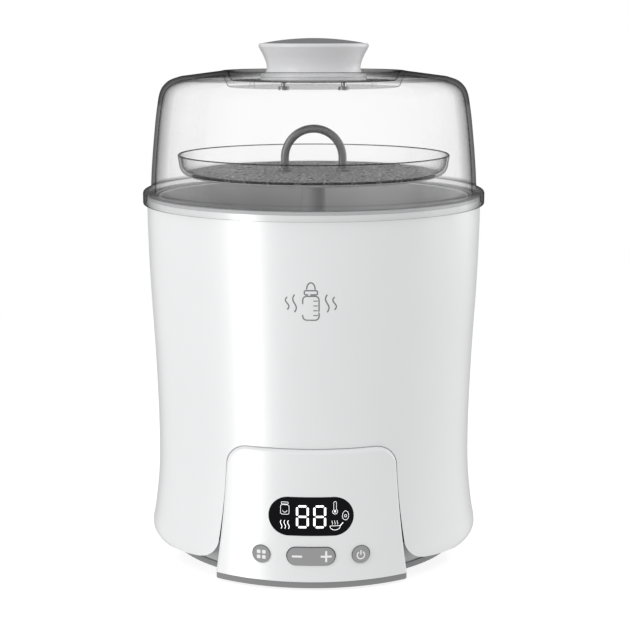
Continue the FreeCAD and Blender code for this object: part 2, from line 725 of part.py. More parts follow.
def fan_impeller():
    low = FAN_BOTTOM + FAN_WALL + 0.8
    cup_top = low + 13.7
    hub = turned(
        (0, cup_top), (0, cup_top - 1.5), (9.9, cup_top - 1.5), (9.9, low), (IMPELLER_R, low),
        (IMPELLER_R, low + 1.4), (11.4, low + 1.4), (11.4, cup_top),
    )
    blade = block(15.5, IMPELLER_R - 0.4, -0.5, 0.5, low + 1, low + 16)
    blade.rotate(V(15.5, 0, 0), UP, 28)
    hoop = tube(IMPELLER_R - 2.4, IMPELLER_R, low + 15, low + 16.4)
    shaft = rod(FAN_SHAFT_R, low + 2, cup_top)
    rotor = hub.multiFuse(around(blade, 18) + [hoop, shaft]).removeSplitter()
    rotor.translate(V(FAN_X, FAN_Y, 0))
    return rotor


def air_heater():
    """A PTC heater: a square sleeve with fins across it."""
    low, high = HEATER_BOX_Z
    half = HEATER_BOX / 2
    sleeve = block(VENT_X - half, VENT_X + half, VENT_Y - half, VENT_Y + half, low, high)
    inside = half - 2
    bore = block(VENT_X - inside, VENT_X + inside, VENT_Y - inside, VENT_Y + inside, low - 1, high + 1)
    fins = []
    for i in range(5):
        x = VENT_X - 5.6 + 2.8 * i
        fins.append(block(x - 0.4, x + 0.4, VENT_Y - half + 1, VENT_Y + half - 1, low + 4, high - 4))
    return sleeve.cut(bore).multiFuse(fins).removeSplitter()


def air_duct():
    """Takes warm air from the square heater up to the round snorkel of the chamber."""
    low, high = HEATER_BOX_Z[1], 76.0
    half = HEATER_BOX / 2

    def square(size, z):
        corners = [(-size, -size), (size, -size), (size, size), (-size, size), (-size, -size)]
        return Part.makePolygon([V(VENT_X + a, VENT_Y + b, z) for a, b in corners])

    def circle(radius, z):
        return Part.Wire(Part.makeCircle(radius, V(VENT_X, VENT_Y, z), UP))

    outer = Part.makeLoft([square(half, low), circle(VENT_TUBE_R, high)], True)
    inner = Part.makeLoft([square(half - 2, low), circle(VENT_TUBE_R - VENT_WALL, high)], True)
    return outer.cut(inner)


def filter_band(offset):
    """The solid inside the shell's outer face near the filter, moved out by offset."""
    points = [(r + offset, z) for r, z in SHELL_OUTLINE if z < 80]
    low, high = points[0], points[-1]
    return revolve([curve(points)] + path(high, (0, high[1]), (0, low[1]), low))


def filter_cassette():
    """The pull-out frame of the air filter, with a louvred face level with the shell."""
    case = rounded_box(FILTER_W, FILTER_H, FILTER_Z, 4, FILTER_FRONT_Y, 125).common(filter_band(0.4))
    hollow = rounded_box(FILTER_W - 4, FILTER_H - 4, FILTER_Z, 2, FILTER_FRONT_Y - 1, 125)
    case = case.cut(hollow.common(filter_band(-2.6)))
    for i in range(5):
        z = FILTER_Z - 9.2 + 4.0 * i
        case = case.cut(stadium(38, 1.8, 0, z, 95, 125))
    grip = Part.makeCylinder(13, 6, V(0, 111.5, FILTER_Z + 20), UP)
    grip.translate(V(0, 8, -9))
    return case.cut(grip).removeSplitter()


def filter_element():
    """A pleated air filter block held in the cassette."""
    depth, pitch, count = 9.0, 4.0, 11
    half = pitch * count / 2
    front = [V(-half + pitch * i / 2, 85 + (1.2 if i % 2 else 0), 0) for i in range(2 * count + 1)]
    back = [p + V(0, depth, 0) for p in reversed(front)]
    outline = Part.makePolygon(front + back + [front[0]])
    pleats = Part.Face(outline).extrude(V(0, 0, FILTER_H - 5))
    pleats.translate(V(0, 0, FILTER_Z - (FILTER_H - 5) / 2))
    return pleats


def filter_housing():
    """The fixed sleeve that the cassette slides into, open to the fan."""
    fit = FILTER_FIT
    leg_low, leg_high = BASE_BOTTOM + BASE_FLOOR, 17.5
    outer = rounded_box(FILTER_W + 2 * fit + 4, FILTER_H + 2 * fit + 4, FILTER_Z, 5, FILTER_FRONT_Y - 3, 102)
    inner = rounded_box(FILTER_W + 2 * fit, FILTER_H + 2 * fit, FILTER_Z, 4.5, FILTER_FRONT_Y - fit, 103)
    back = rounded_box(FILTER_W - 6, FILTER_H - 6, FILTER_Z, 3, FILTER_FRONT_Y - 5, FILTER_FRONT_Y + 1)
    limit = rod(103.4, 0, 80)
    sleeve = outer.cut(inner).cut(back).common(limit)
    legs = [
        block(x - 4, x + 4, FILTER_FRONT_Y - 3, FILTER_FRONT_Y + 4, leg_low, leg_high) for x in (-18, 18)
    ]
    return sleeve.multiFuse(legs).removeSplitter()


# ---------------------------------------------------------------- bottle basket


def basket_radius(z, wall=0.0):
    """Outside radius of the basket's wall at height z, less wall."""
    share = (z - BASKET_LOW_Z) / (BASKET_TOP - BASKET_LOW_Z)
    return BASKET_LOW_R + (BASKET_TOP_R - BASKET_LOW_R) * share - wall


def basket_floor_top():
    return BASKET_FLOOR_Z + BASKET_FLOOR_THICK


def bottle_basket():
    """The slotted tub that stands in the chamber."""
    floor_top = basket_floor_top()
    lip = 0.8
    edges = path(
        (COLUMN_BORE_R, floor_top), (COLUMN_BORE_R, BASKET_FLOOR_Z),
        (basket_radius(BASKET_LOW_Z, BASKET_WALL + 6), BASKET_FLOOR_Z),
        (basket_radius(BASKET_LOW_Z, BASKET_WALL), BASKET_LOW_Z), (BASKET_LOW_R, BASKET_LOW_Z),
        (BASKET_TOP_R, BASKET_TOP - lip),
    )
    edges.append(
        arc(
            (BASKET_TOP_R, BASKET_TOP - lip),
            (BASKET_TOP_R - BASKET_WALL / 2, BASKET_TOP),
            (BASKET_TOP_R - BASKET_WALL, BASKET_TOP - lip),
        )
    )
    corner = basket_radius(floor_top + 6, BASKET_WALL)
    edges.append(line((BASKET_TOP_R - BASKET_WALL, BASKET_TOP - lip), (corner, floor_top + 6)))
    edges.append(arc((corner, floor_top + 6), (corner - 1.8, floor_top + 1.8), (corner - 6, floor_top)))
    edges.append(line((corner - 6, floor_top), (COLUMN_BORE_R, floor_top)))
    outer_slot = block(74, 86, -1.6, 1.6, BASKET_FLOOR_Z - 1, floor_top + 1)
    inner_slot = block(20, 38, -1.6, 1.6, BASKET_FLOOR_Z - 1, floor_top + 1)
    side_slot = block(90, 110, -3, 3, 112, 136)
    slots = around(outer_slot, 24, 7.5) + around(inner_slot, 12, 0) + around(side_slot, 18, 5)
    return revolve(edges).cut(Part.Compound(slots)).removeSplitter()


def basket_foot():
    """The ring under the basket's floor, open in three places so that steam and water pass."""
    foot = tube(88.6, 90.8, CHAMBER_FLOOR + 0.4, BASKET_FLOOR_Z)
    gap = block(80, 100, -14, 14, CHAMBER_FLOOR, BASKET_FLOOR_Z - 2)
    return foot.cut(Part.Compound(around(gap, 3, 45)))


def bottle_pegs():
    """Six cross-shaped pegs that hold the bottles upside down."""
    low = basket_floor_top()
    outline = [V(-11, 0, low), V(11, 0, low), V(5.5, 0, PEG_TOP), V(-5.5, 0, PEG_TOP), V(-11, 0, low)]
    blade = Part.Face(Part.makePolygon(outline)).extrude(V(0, 2.2, 0))
    blade.translate(V(0, -1.1, 0))
    cross = blade.fuse(spun(blade, 90)).removeSplitter()
    cross.translate(V(PEG_CIRCLE_R, 0, 0))
    return Part.Compound(around(cross, PEG_COUNT, 30))


def basket_column():
    """The tube in the middle of the basket that the tray plugs into."""
    low = basket_floor_top()
    edges = [curve([(14, low + 1), (9.4, low + 7), (COLUMN_R, low + 21)], (-1, 0.4), (0, 1))]
    edges += path(
        (COLUMN_R, low + 21), (COLUMN_R, COLUMN_TOP - 1), (COLUMN_R - 1, COLUMN_TOP),
        (COLUMN_BORE_R, COLUMN_TOP), (COLUMN_BORE_R, low), (14, low), (14, low + 1),
    )
    return revolve(edges)


# ---------------------------------------------------------------- accessory tray


def accessory_tray():
    floor_top = TRAY_BOTTOM + TRAY_FLOOR
    rim_in = TRAY_RIM_R - TRAY_WALL
    rim_mid = (TRAY_RIM_R - TRAY_WALL / 2, TRAY_RIM_Z + 0.8)
    edges = [line((0, TRAY_BOTTOM), (TRAY_FLAT_R, TRAY_BOTTOM))]
    edges.append(arc((TRAY_FLAT_R, TRAY_BOTTOM), (87.9, 255.0), (90.4, 260.4)))
    edges.append(line((90.4, 260.4), (TRAY_RIM_R, TRAY_RIM_Z)))
    edges.append(arc((TRAY_RIM_R, TRAY_RIM_Z), rim_mid, (rim_in, TRAY_RIM_Z)))
    edges.append(line((rim_in, TRAY_RIM_Z), (88.8, 260.7)))
    edges.append(arc((88.8, 260.7), (86.6, 256.7), (TRAY_FLAT_R, floor_top)))
    edges.append(line((TRAY_FLAT_R, floor_top), (0, floor_top)))
    edges.append(line((0, floor_top), (0, TRAY_BOTTOM)))
    tray = revolve(edges)
    holes = []
    for ring_r, count in TRAY_HOLE_RINGS:
        hole = rod(TRAY_HOLE_R, TRAY_BOTTOM - 1, floor_top + 1, ring_r, 0)
        holes += around(hole, count, 180.0 / count)
    holes += [rod(HANDLE_PEG_R, TRAY_BOTTOM - 1, floor_top + 1, x, 0) for x in (-HANDLE_R, HANDLE_R)]
    return tray.cut(Part.Compound(holes)).removeSplitter()


def tray_spigot():
    """The short tube under the tray that plugs into the top of the basket's column."""
    low = TRAY_BOTTOM - SPIGOT_LENGTH
    return turned(
        (SPIGOT_R - 1.6, low), (SPIGOT_R - 0.8, low), (SPIGOT_R, low + 0.9), (SPIGOT_R, TRAY_BOTTOM),
        (SPIGOT_R - 1.6, TRAY_BOTTOM),
    )


def tray_handle():
    """An arched loop with two collars that stand on the tray and two pegs through its floor."""
    floor_top = TRAY_BOTTOM + TRAY_FLOOR
    r, z = HANDLE_R, HANDLE_CENTRE_Z
    spine = Part.Wire([
        line((-r, floor_top), (-r, z)), arc((-r, z), (0, z + r), (r, z)), line((r, z), (r, floor_top)),
    ])
    section = Part.Wire(Part.makeCircle(HANDLE_TUBE_R, V(-r, 0, floor_top), UP))
    loop = spine.makePipeShell([section], True, False)
    ends = []
    for x in (-r, r):
        collar = rod(4.4, floor_top, floor_top + 2, x, 0)
        ends.append(smooth(collar, 0.9, lambda e: e.BoundBox.ZMin > floor_top + 1))
        ends.append(rod(HANDLE_PEG_R, TRAY_BOTTOM - 0.2, floor_top + 1, x, 0))
    return loop.multiFuse(ends).removeSplitter()


# ---------------------------------------------------------------- lid


def lid_dome():
    outer_top, inner_top = LID_OUTLINE[-1], LID_INLINE[-1]
    skirt_in = LID_SKIRT_R - 2.1
    well_low = WELL_FLOOR - WELL_THICK
    ridge_in = (LID_RIDGE_R - 2.4, LID_RIDGE_Z - 1.0)
    edges = [
        curve(LID_OUTLINE),
        line(outer_top, (LID_RIDGE_R + 1.6, LID_RIDGE_Z - 0.3)),
        arc((LID_RIDGE_R + 1.6, LID_RIDGE_Z - 0.3), (LID_RIDGE_R - 0.5, LID_RIDGE_Z), ridge_in),
        line(ridge_in, (WELL_R + 0.8, WELL_FLOOR + 1.1)),
        arc((WELL_R + 0.8, WELL_FLOOR + 1.1), (WELL_R + 0.1, WELL_FLOOR + 0.3), (WELL_R - 0.9, WELL_FLOOR)),
        line((WELL_R - 0.9, WELL_FLOOR), (0, WELL_FLOOR)),
        line((0, WELL_FLOOR), (0, well_low)),
        line((0, well_low), (WELL_R + 1.0, well_low)),
        arc((WELL_R + 1.0, well_low), (WELL_R + 2.4, well_low + 0.5), (WELL_R + 3.0, well_low + 1.6)),
        line((WELL_R + 3.0, well_low + 1.6), (LID_RIDGE_R + 0.4, LID_RIDGE_Z - 3.6)),
        arc(
            (LID_RIDGE_R + 0.4, LID_RIDGE_Z - 3.6),
            (LID_RIDGE_R + 0.9, LID_RIDGE_Z - 3.1),
            (LID_RIDGE_R + 1.8, LID_RIDGE_Z - 2.9),
        ),
        line((LID_RIDGE_R + 1.8, LID_RIDGE_Z - 2.9), inner_top),
        curve(LID_INLINE),
        line(LID_INLINE[0], (LID_INLINE[0][0], LID_LEDGE)),
        line((LID_INLINE[0][0], LID_LEDGE), (skirt_in, LID_LEDGE)),
        line((skirt_in, LID_LEDGE), (skirt_in, LID_SKIRT_BOTTOM)),
        line((skirt_in, LID_SKIRT_BOTTOM), (LID_SKIRT_R - 1.0, LID_SKIRT_BOTTOM)),
        arc(
            (LID_SKIRT_R - 1.0, LID_SKIRT_BOTTOM),
            (LID_SKIRT_R - 0.3, LID_SKIRT_BOTTOM + 0.3),
            (LID_SKIRT_R, LID_SKIRT_BOTTOM + 1.0),
        ),
        line((LID_SKIRT_R, LID_SKIRT_BOTTOM + 1.0), (LID_SKIRT_R, 241.8)),
        arc((LID_SKIRT_R, 241.8), (LID_SKIRT_R - 0.6, 243.1), (LID_SKIRT_R - 1.9, 243.9)),
        curve([(LID_SKIRT_R - 1.9, 243.9), (110.6, 244.8), LID_OUTLINE[0]], (-0.9, 0.3), (-0.05, 1)),
    ]
    dome = revolve(edges)
    hole = rod(STEAM_HOLE_R, well_low - 1, WELL_FLOOR + 1, STEAM_HOLE_CIRCLE_R, 0)
    holes = around(hole, 3, 90)
    holes += [rod(SCREW_R + 0.2, well_low - 1, WELL_FLOOR + 1, x, 0) for x in (-KNOB_SCREW_X, KNOB_SCREW_X)]
    return dome.cut(Part.Compound(holes))


def lid_knob():
    f = KNOB_FLANGE_R
    z = WELL_FLOOR
    flange_top = KNOB_FLANGE_TOP
    edges = path((f - 0.7, z), (f, z + 0.7), (f, flange_top - 0.8))
    edges.append(arc((f, flange_top - 0.8), (f - 0.25, flange_top - 0.2), (f - 0.9, flange_top)))
    edges.append(line((f - 0.9, flange_top), KNOB_OUTLINE[0]))
    edges.append(curve(KNOB_OUTLINE))
    edges.append(arc(KNOB_OUTLINE[-1], (KNOB_TOP_R, KNOB_TOP - 1.2), (KNOB_TOP_R - 1.0, KNOB_TOP)))
    edges += path(
        (KNOB_TOP_R - 1.0, KNOB_TOP), (CAP_R + 0.3, KNOB_TOP), (CAP_R + 0.3, CAP_SEAT), (0, CAP_SEAT),
        (0, CAP_SEAT - 2.4), (29.5, CAP_SEAT - 2.4), (28.4, CAP_SEAT - 5), (28.4, z), (f - 0.7, z),
    )
    knob = revolve(edges)
    bosses = [rod(4.2, z, CAP_SEAT - 2, x, 0) for x in (-KNOB_SCREW_X, KNOB_SCREW_X)]
    knob = knob.multiFuse(bosses)
    for x in (-KNOB_SCREW_X, KNOB_SCREW_X):
        knob = knob.cut(rod(SCREW_R, z - 1, z + 15, x, 0))
    return knob.removeSplitter()


def knob_cap():
    """A disc with a shallow domed top."""
    rise = CAP_APEX - KNOB_TOP
    dome_r = (CAP_R ** 2 + rise ** 2) / (2 * rise)
    return rod(CAP_R, CAP_SEAT, CAP_APEX).common(Part.makeSphere(dome_r, V(0, 0, CAP_APEX - dome_r)))


def knob_screws():
    low = WELL_FLOOR - WELL_THICK
    spots = (-KNOB_SCREW_X, KNOB_SCREW_X)
    return Part.Compound([screw(x, 0, low - 2.4, low, WELL_FLOOR + 13, 3.6) for x in spots])


# ---------------------------------------------------------------- all the pieces

PIECES = {
    "base_plate": base_plate,
    "panel_skirt": panel_skirt,
    "rubber_feet": rubber_feet,
    "base_screws": base_screws,
    "outer_shell": outer_shell,
    "shell_ring": shell_ring,
    "panel_housing": panel_housing,
    "display_window": display_window,
    "display_module": display_module,
    "mode_button": lambda: push_button(-BUTTON_X),
    "power_button": lambda: push_button(BUTTON_X),
    "adjust_rocker": adjust_rocker,
    "control_board": control_board,
    "tact_switches": tact_switches,
    "power_board": power_board,
    "power_components": power_components,
    "cord_gland": cord_gland,
    "terminal_block": terminal_block,
    "steam_chamber": steam_chamber,
    "air_hood": air_hood,
    "heating_plate": heating_plate,
    "plate_gasket": plate_gasket,
    "clamp_ring": clamp_ring,
    "clamp_screws": clamp_screws,
    "heater_block": heater_block,
    "heater_element": heater_element,
    "thermostat": thermostat,
    "thermal_fuse": thermal_fuse,
    "fan_housing": fan_housing,
    "fan_motor": fan_motor,
    "fan_impeller": fan_impeller,
    "air_heater": air_heater,
    "air_duct": air_duct,
    "filter_cassette": filter_cassette,
    "filter_element": filter_element,
    "filter_housing": filter_housing,
    "bottle_basket": bottle_basket,
    "basket_foot": basket_foot,
    "bottle_pegs": bottle_pegs,
    "basket_column": basket_column,
    "accessory_tray": accessory_tray,
    "tray_spigot": tray_spigot,
    "tray_handle": tray_handle,
    "lid_dome": lid_dome,
    "lid_knob": lid_knob,
    "knob_cap": knob_cap,
    "knob_screws": knob_screws,
}

os.makedirs("parts", exist_ok=True)
for name, make in PIECES.items():
    shape = make()
    print(name, "solids", len(shape.Solids), "volume", round(shape.Volume), "valid", shape.isValid())
    shape.exportStep(os.path.join("parts", name + ".step"))
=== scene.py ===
"""Looks, light and camera for the bottle steriliser. Lengths are in metres, in the CAD frame."""

import json
import math

import bmesh
import bpy
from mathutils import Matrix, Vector
from mathutils.bvhtree import BVHTree


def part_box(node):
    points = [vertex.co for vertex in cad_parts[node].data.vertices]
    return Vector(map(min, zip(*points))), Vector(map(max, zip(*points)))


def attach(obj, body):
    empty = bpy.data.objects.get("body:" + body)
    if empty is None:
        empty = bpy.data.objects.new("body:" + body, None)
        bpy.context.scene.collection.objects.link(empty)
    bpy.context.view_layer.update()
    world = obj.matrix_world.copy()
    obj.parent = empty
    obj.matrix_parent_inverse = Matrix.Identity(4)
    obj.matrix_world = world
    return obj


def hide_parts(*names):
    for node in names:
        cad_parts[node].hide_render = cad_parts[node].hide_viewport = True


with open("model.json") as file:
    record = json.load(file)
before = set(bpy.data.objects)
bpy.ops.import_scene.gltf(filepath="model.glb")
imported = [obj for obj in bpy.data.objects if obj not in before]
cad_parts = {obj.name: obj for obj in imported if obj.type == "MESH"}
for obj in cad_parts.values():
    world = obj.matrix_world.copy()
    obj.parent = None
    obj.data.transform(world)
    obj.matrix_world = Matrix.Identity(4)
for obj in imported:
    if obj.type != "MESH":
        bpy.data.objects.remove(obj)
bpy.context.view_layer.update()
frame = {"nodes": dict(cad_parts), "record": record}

MM = 0.001
NODES = frame["nodes"]

# ------------------------------------------------------------------ camera and surroundings

CAMERA_DISTANCE = 1.0
CAMERA_HEIGHT = 0.3462
CAMERA_AZIMUTH = math.radians(0.9)
CAMERA_TILT = math.radians(10.75)
CAMERA_YAW = math.radians(0.05)
# The lens and the sensor are in millimetres.
CAMERA_LENS = 84.62
CAMERA_SENSOR = 36
CAMERA_SEES = (0.01, 50)
WORLD_LIGHT = 0.8
BACKDROP_WHITE = 1.0
FLOOR_RADIUS, SURROUND_RADIUS = 5, 6
FLOOR_GLOW = 0.78
FLOOR_PAINT = (0.4, 0.42)
FLOOR_FADE = (0.2, 0.9)
CARD_BLACK, CARD_ROUGHNESS = (0.03, 0.03, 0.03), 0.9
CARD_BEHIND, CARD_MIDDLE_Z = 2.0, -0.3
CARD_WIDTH, CARD_HEIGHT = 3.2, 2.6
OBJECT_MIDDLE_Z = 0.17

# Each light: name, azimuth and elevation in degrees, distance, width and height in metres, power in watts.
LIGHTS = (
    ("key_left", -53, 18, 1.6, 0.5, 1.2, 7.6),
    ("side_right", 90, 15, 1.5, 0.6, 1.2, 2.8),
    ("rim_right", 120, 15, 1.5, 0.6, 1.2, 3.7),
)
GLEAM_AZIMUTH = -44
GLEAM = ("gleam_left", GLEAM_AZIMUTH, -6, 1.6, 0.2, 2.0, 46.0)
GLEAM_NODES = ("outer_shell", "panel_housing")
# The flags stand this far from the axis, and the slit between them runs from left to right of the beam.
FLAG_DISTANCE = 0.35
FLAG_SLIT = (-0.025, 0.062)
FLAG_WIDTH, FLAG_HEIGHT = 0.3, 2.4


def make_camera():
    """The camera in front of the object, turned down towards it."""
    data = bpy.data.cameras.new("camera")
    data.sensor_width = CAMERA_SENSOR
    data.lens = CAMERA_LENS
    data.clip_start, data.clip_end = CAMERA_SEES
    camera = bpy.data.objects.new("camera", data)
    side = CAMERA_DISTANCE * math.sin(CAMERA_AZIMUTH)
    back = -CAMERA_DISTANCE * math.cos(CAMERA_AZIMUTH)
    camera.location = (side, back, CAMERA_HEIGHT)
    camera.rotation_euler = (math.pi / 2 - CAMERA_TILT, 0, CAMERA_AZIMUTH - CAMERA_YAW)
    bpy.context.scene.collection.objects.link(camera)
    bpy.context.scene.camera = camera


def area_light(name, azimuth, elevation, distance, width, height, power):
    """A soft box that faces the object; azimuth 0 is in front of the panel, positive to the right."""
    data = bpy.data.lights.new(name, "AREA")
    data.shape = "RECTANGLE"
    data.size = width
    data.size_y = height
    data.energy = power
    light = bpy.data.objects.new(name, data)
    round_by, up_by = math.radians(azimuth), math.radians(elevation)
    level = math.cos(up_by)
    away = Vector((math.sin(round_by) * level, -math.cos(round_by) * level, math.sin(up_by)))
    light.location = Vector((0, 0, OBJECT_MIDDLE_Z)) + away * distance
    light.rotation_mode = "QUATERNION"
    light.rotation_quaternion = away.to_track_quat("Z", "Y")
    light.visible_camera = False
    bpy.context.scene.collection.objects.link(light)
    return light


def upright_card(name, place, width, height, turned_by=0):
    """A black upright card that the camera doesn't see; it faces the front, turned about the vertical."""
    bpy.ops.mesh.primitive_plane_add(size=1, location=place)
    card = bpy.context.object
    card.name = name
    card.scale = (width, height, 1)
    card.rotation_euler = (math.pi / 2, 0, turned_by)
    card.data.materials.append(moulded(name + "_black", CARD_BLACK, CARD_ROUGHNESS))
    card.visible_camera = False
    card.visible_diffuse = False
    card.visible_transmission = False
    return card


def make_dark_card():
    """A dark card behind the object, seen only in its gloss, which gives the body its softly shaded edges."""
    card = upright_card("dark_card", (0, CARD_BEHIND, CARD_MIDDLE_Z), CARD_WIDTH, CARD_HEIGHT)
    card.visible_shadow = False
    return card


def make_flags(gleam, others):
    """Two cards beside the gleam light's beam that keep it off the body's sides and shade no other light."""
    turned_by = math.radians(GLEAM_AZIMUTH)
    towards = Vector((math.sin(turned_by), -math.cos(turned_by), 0)) * FLAG_DISTANCE
    across = Vector((math.cos(turned_by), math.sin(turned_by), 0))
    flags = bpy.data.collections.new("gleam_flags")
    passed = bpy.data.collections.new("passed_by_other_lights")
    left_edge, right_edge = FLAG_SLIT
    middles = {"flag_left": left_edge - FLAG_WIDTH / 2, "flag_right": right_edge + FLAG_WIDTH / 2}
    for name, middle in middles.items():
        place = towards + across * middle + Vector((0, 0, OBJECT_MIDDLE_Z))
        flag = upright_card(name, place, FLAG_WIDTH, FLAG_HEIGHT, turned_by)
        flag.visible_glossy = False
        flag.visible_volume_scatter = False
        flags.objects.link(flag)
        passed.objects.link(flag)
    for entry in passed.collection_objects:
        entry.light_linking.link_state = "EXCLUDE"
    gleam.light_linking.blocker_collection = flags
    for light in others:
        light.light_linking.blocker_collection = passed


def make_lights():
    """Soft boxes, an even white world, and a narrow light that shows only in the body's and panel's gloss."""
    others = [area_light(*light) for light in LIGHTS]
    gleam = area_light(*GLEAM)
    make_flags(gleam, others)
    gleam.visible_diffuse = False
    gleam.visible_transmission = False
    lit = bpy.data.collections.new("gleam_receivers")
    for name in GLEAM_NODES:
        lit.objects.link(NODES[name])
    gleam.light_linking.receiver_collection = lit
    world = bpy.data.worlds.new("studio")
    bpy.context.scene.world = world
    world.use_nodes = True
    background = world.node_tree.nodes["Background"]
    background.inputs["Color"].default_value = grey(1.0)
    background.inputs["Strength"].default_value = WORLD_LIGHT
    bpy.context.scene.view_settings.view_transform = "Standard"


def floor_material():
    """Pale paint that fades into the white surround away from the object."""
    mat, nodes, links, shader = shader_material("floor_paint")
    shader.inputs["Roughness"].default_value = 0.9
    shader.inputs["Specular IOR Level"].default_value = 0.1
    mottle = noise(nodes, links, 400.0, 2.0)
    darker, lighter = FLOOR_PAINT
    paint = ramp(nodes, links, mottle, [(0.3, grey(darker)), (0.7, grey(lighter))])
    links.new(paint, shader.inputs["Base Color"])
    shader.inputs["Emission Color"].default_value = grey(1.0)
    shader.inputs["Emission Strength"].default_value = FLOOR_GLOW
    white = nodes.new("ShaderNodeEmission")
    white.inputs["Strength"].default_value = BACKDROP_WHITE
    place = nodes.new("ShaderNodeTexCoord")
    reach = nodes.new("ShaderNodeVectorMath")
    reach.operation = "LENGTH"
    links.new(place.outputs["Object"], reach.inputs[0])
    mix = nodes.new("ShaderNodeMixShader")
    links.new(spread(nodes, links, reach.outputs["Value"], 0.0, 1.0, *FLOOR_FADE), mix.inputs["Fac"])
    links.new(shader.outputs["BSDF"], mix.inputs[1])
    links.new(white.outputs["Emission"], mix.inputs[2])
    links.new(mix.outputs["Shader"], nodes["Material Output"].inputs["Surface"])
    return mat


def surround_material():
    """An even white glow."""
    mat = bpy.data.materials.new("surround_white")
    mat.use_nodes = True
    tree = mat.node_tree
    tree.nodes.clear()
    glow = tree.nodes.new("ShaderNodeEmission")
    glow.inputs["Strength"].default_value = BACKDROP_WHITE
    out = tree.nodes.new("ShaderNodeOutputMaterial")
    tree.links.new(glow.outputs["Emission"], out.inputs["Surface"])
    return mat


def make_stage():
    """A pale floor, a white surround that is seen but gives no light, and the dark card behind the object."""
    bpy.ops.mesh.primitive_circle_add(vertices=96, radius=FLOOR_RADIUS, fill_type="NGON")
    floor = bpy.context.object
    floor.name = "floor"
    floor.data.materials.append(floor_material())
    floor.visible_diffuse = False
    floor.visible_glossy = False
    bpy.ops.mesh.primitive_uv_sphere_add(segments=48, ring_count=24, radius=SURROUND_RADIUS)
    dome = bpy.context.object
    dome.name = "surround"
    dome.data.materials.append(surround_material())
    dome.visible_diffuse = False
    dome.visible_glossy = False
    dome.visible_shadow = False
    make_dark_card()


# ------------------------------------------------------------------ materials


ROUGHNESS_DRIFT, METAL_ROUGHNESS_DRIFT = 0.05, 0.08
METAL_DARKER, METAL_LIGHTER = 0.88, 1.06
CLEAR_IOR = 1.45
LEAST_GLOSS = 0.004


def shader_material(name):
    """A new node material with its nodes, its links and its main shader."""
    mat = bpy.data.materials.new(name)
    mat.use_nodes = True
    nodes, links = mat.node_tree.nodes, mat.node_tree.links
    return mat, nodes, links, nodes["Principled BSDF"]


def grey(value):
    """A neutral colour."""
    return (value, value, value, 1)


def noise(nodes, links, size_mm, detail=2.0, roughness=0.5):
    """Noise whose features are about size_mm across on the object."""
    place = nodes.new("ShaderNodeTexCoord")
    texture = nodes.new("ShaderNodeTexNoise")
    texture.inputs["Scale"].default_value = 1.0 / (size_mm * MM)
    texture.inputs["Detail"].default_value = detail
    texture.inputs["Roughness"].default_value = roughness
    links.new(place.outputs["Object"], texture.inputs["Vector"])
    return texture.outputs["Fac"]


def ramp(nodes, links, value, stops):
    """The colour that a value picks from stops of (position, colour)."""
    node = nodes.new("ShaderNodeValToRGB")
    points = node.color_ramp.elements
    for position, _ in stops[2:]:
        points.new(position)
    for point, (position, _) in zip(sorted(points, key=lambda p: p.position), stops):
        point.position = position
    for point, (_, colour) in zip(points, stops):
        point.color = colour
    links.new(value, node.inputs["Fac"])
    return node.outputs["Color"]


def spread(nodes, links, value, low, high, start=0.3, end=0.7):
    """A value that goes from low to high while the given one goes from start to end."""
    node = nodes.new("ShaderNodeMapRange")
    node.inputs["From Min"].default_value = start
    node.inputs["From Max"].default_value = end
    node.inputs["To Min"].default_value = low
    node.inputs["To Max"].default_value = high
    links.new(value, node.inputs["Value"])
    return node.outputs["Result"]


def add_bump(nodes, links, shader, height, depth_mm, strength=0.5):
    """Relief on the shader, depth_mm deep."""
    bump = nodes.new("ShaderNodeBump")
    bump.inputs["Strength"].default_value = strength
    bump.inputs["Distance"].default_value = depth_mm * MM
    links.new(height, bump.inputs["Height"])
    links.new(bump.outputs["Normal"], shader.inputs["Normal"])


def moulded(name, colour, roughness, grain_mm=0.5, grain_depth=0.03, mottle=0.03, cloud_mm=45.0, gloss=0.5):
    """Moulded plastic: a slow drift of shade, a fine grain and uneven gloss."""
    mat, nodes, links, shader = shader_material(name)
    cloud = noise(nodes, links, cloud_mm, 3.0)
    dark = tuple(c * (1 - mottle) for c in colour) + (1,)
    light = tuple(min(1.0, c * (1 + mottle)) for c in colour) + (1,)
    links.new(ramp(nodes, links, cloud, [(0.3, dark), (0.7, light)]), shader.inputs["Base Color"])
    fine = noise(nodes, links, grain_mm, 2.0)
    uneven = spread(nodes, links, fine, roughness - ROUGHNESS_DRIFT, roughness + ROUGHNESS_DRIFT)
    links.new(uneven, shader.inputs["Roughness"])
    add_bump(nodes, links, shader, fine, grain_depth)
    shader.inputs["Specular IOR Level"].default_value = gloss
    return mat


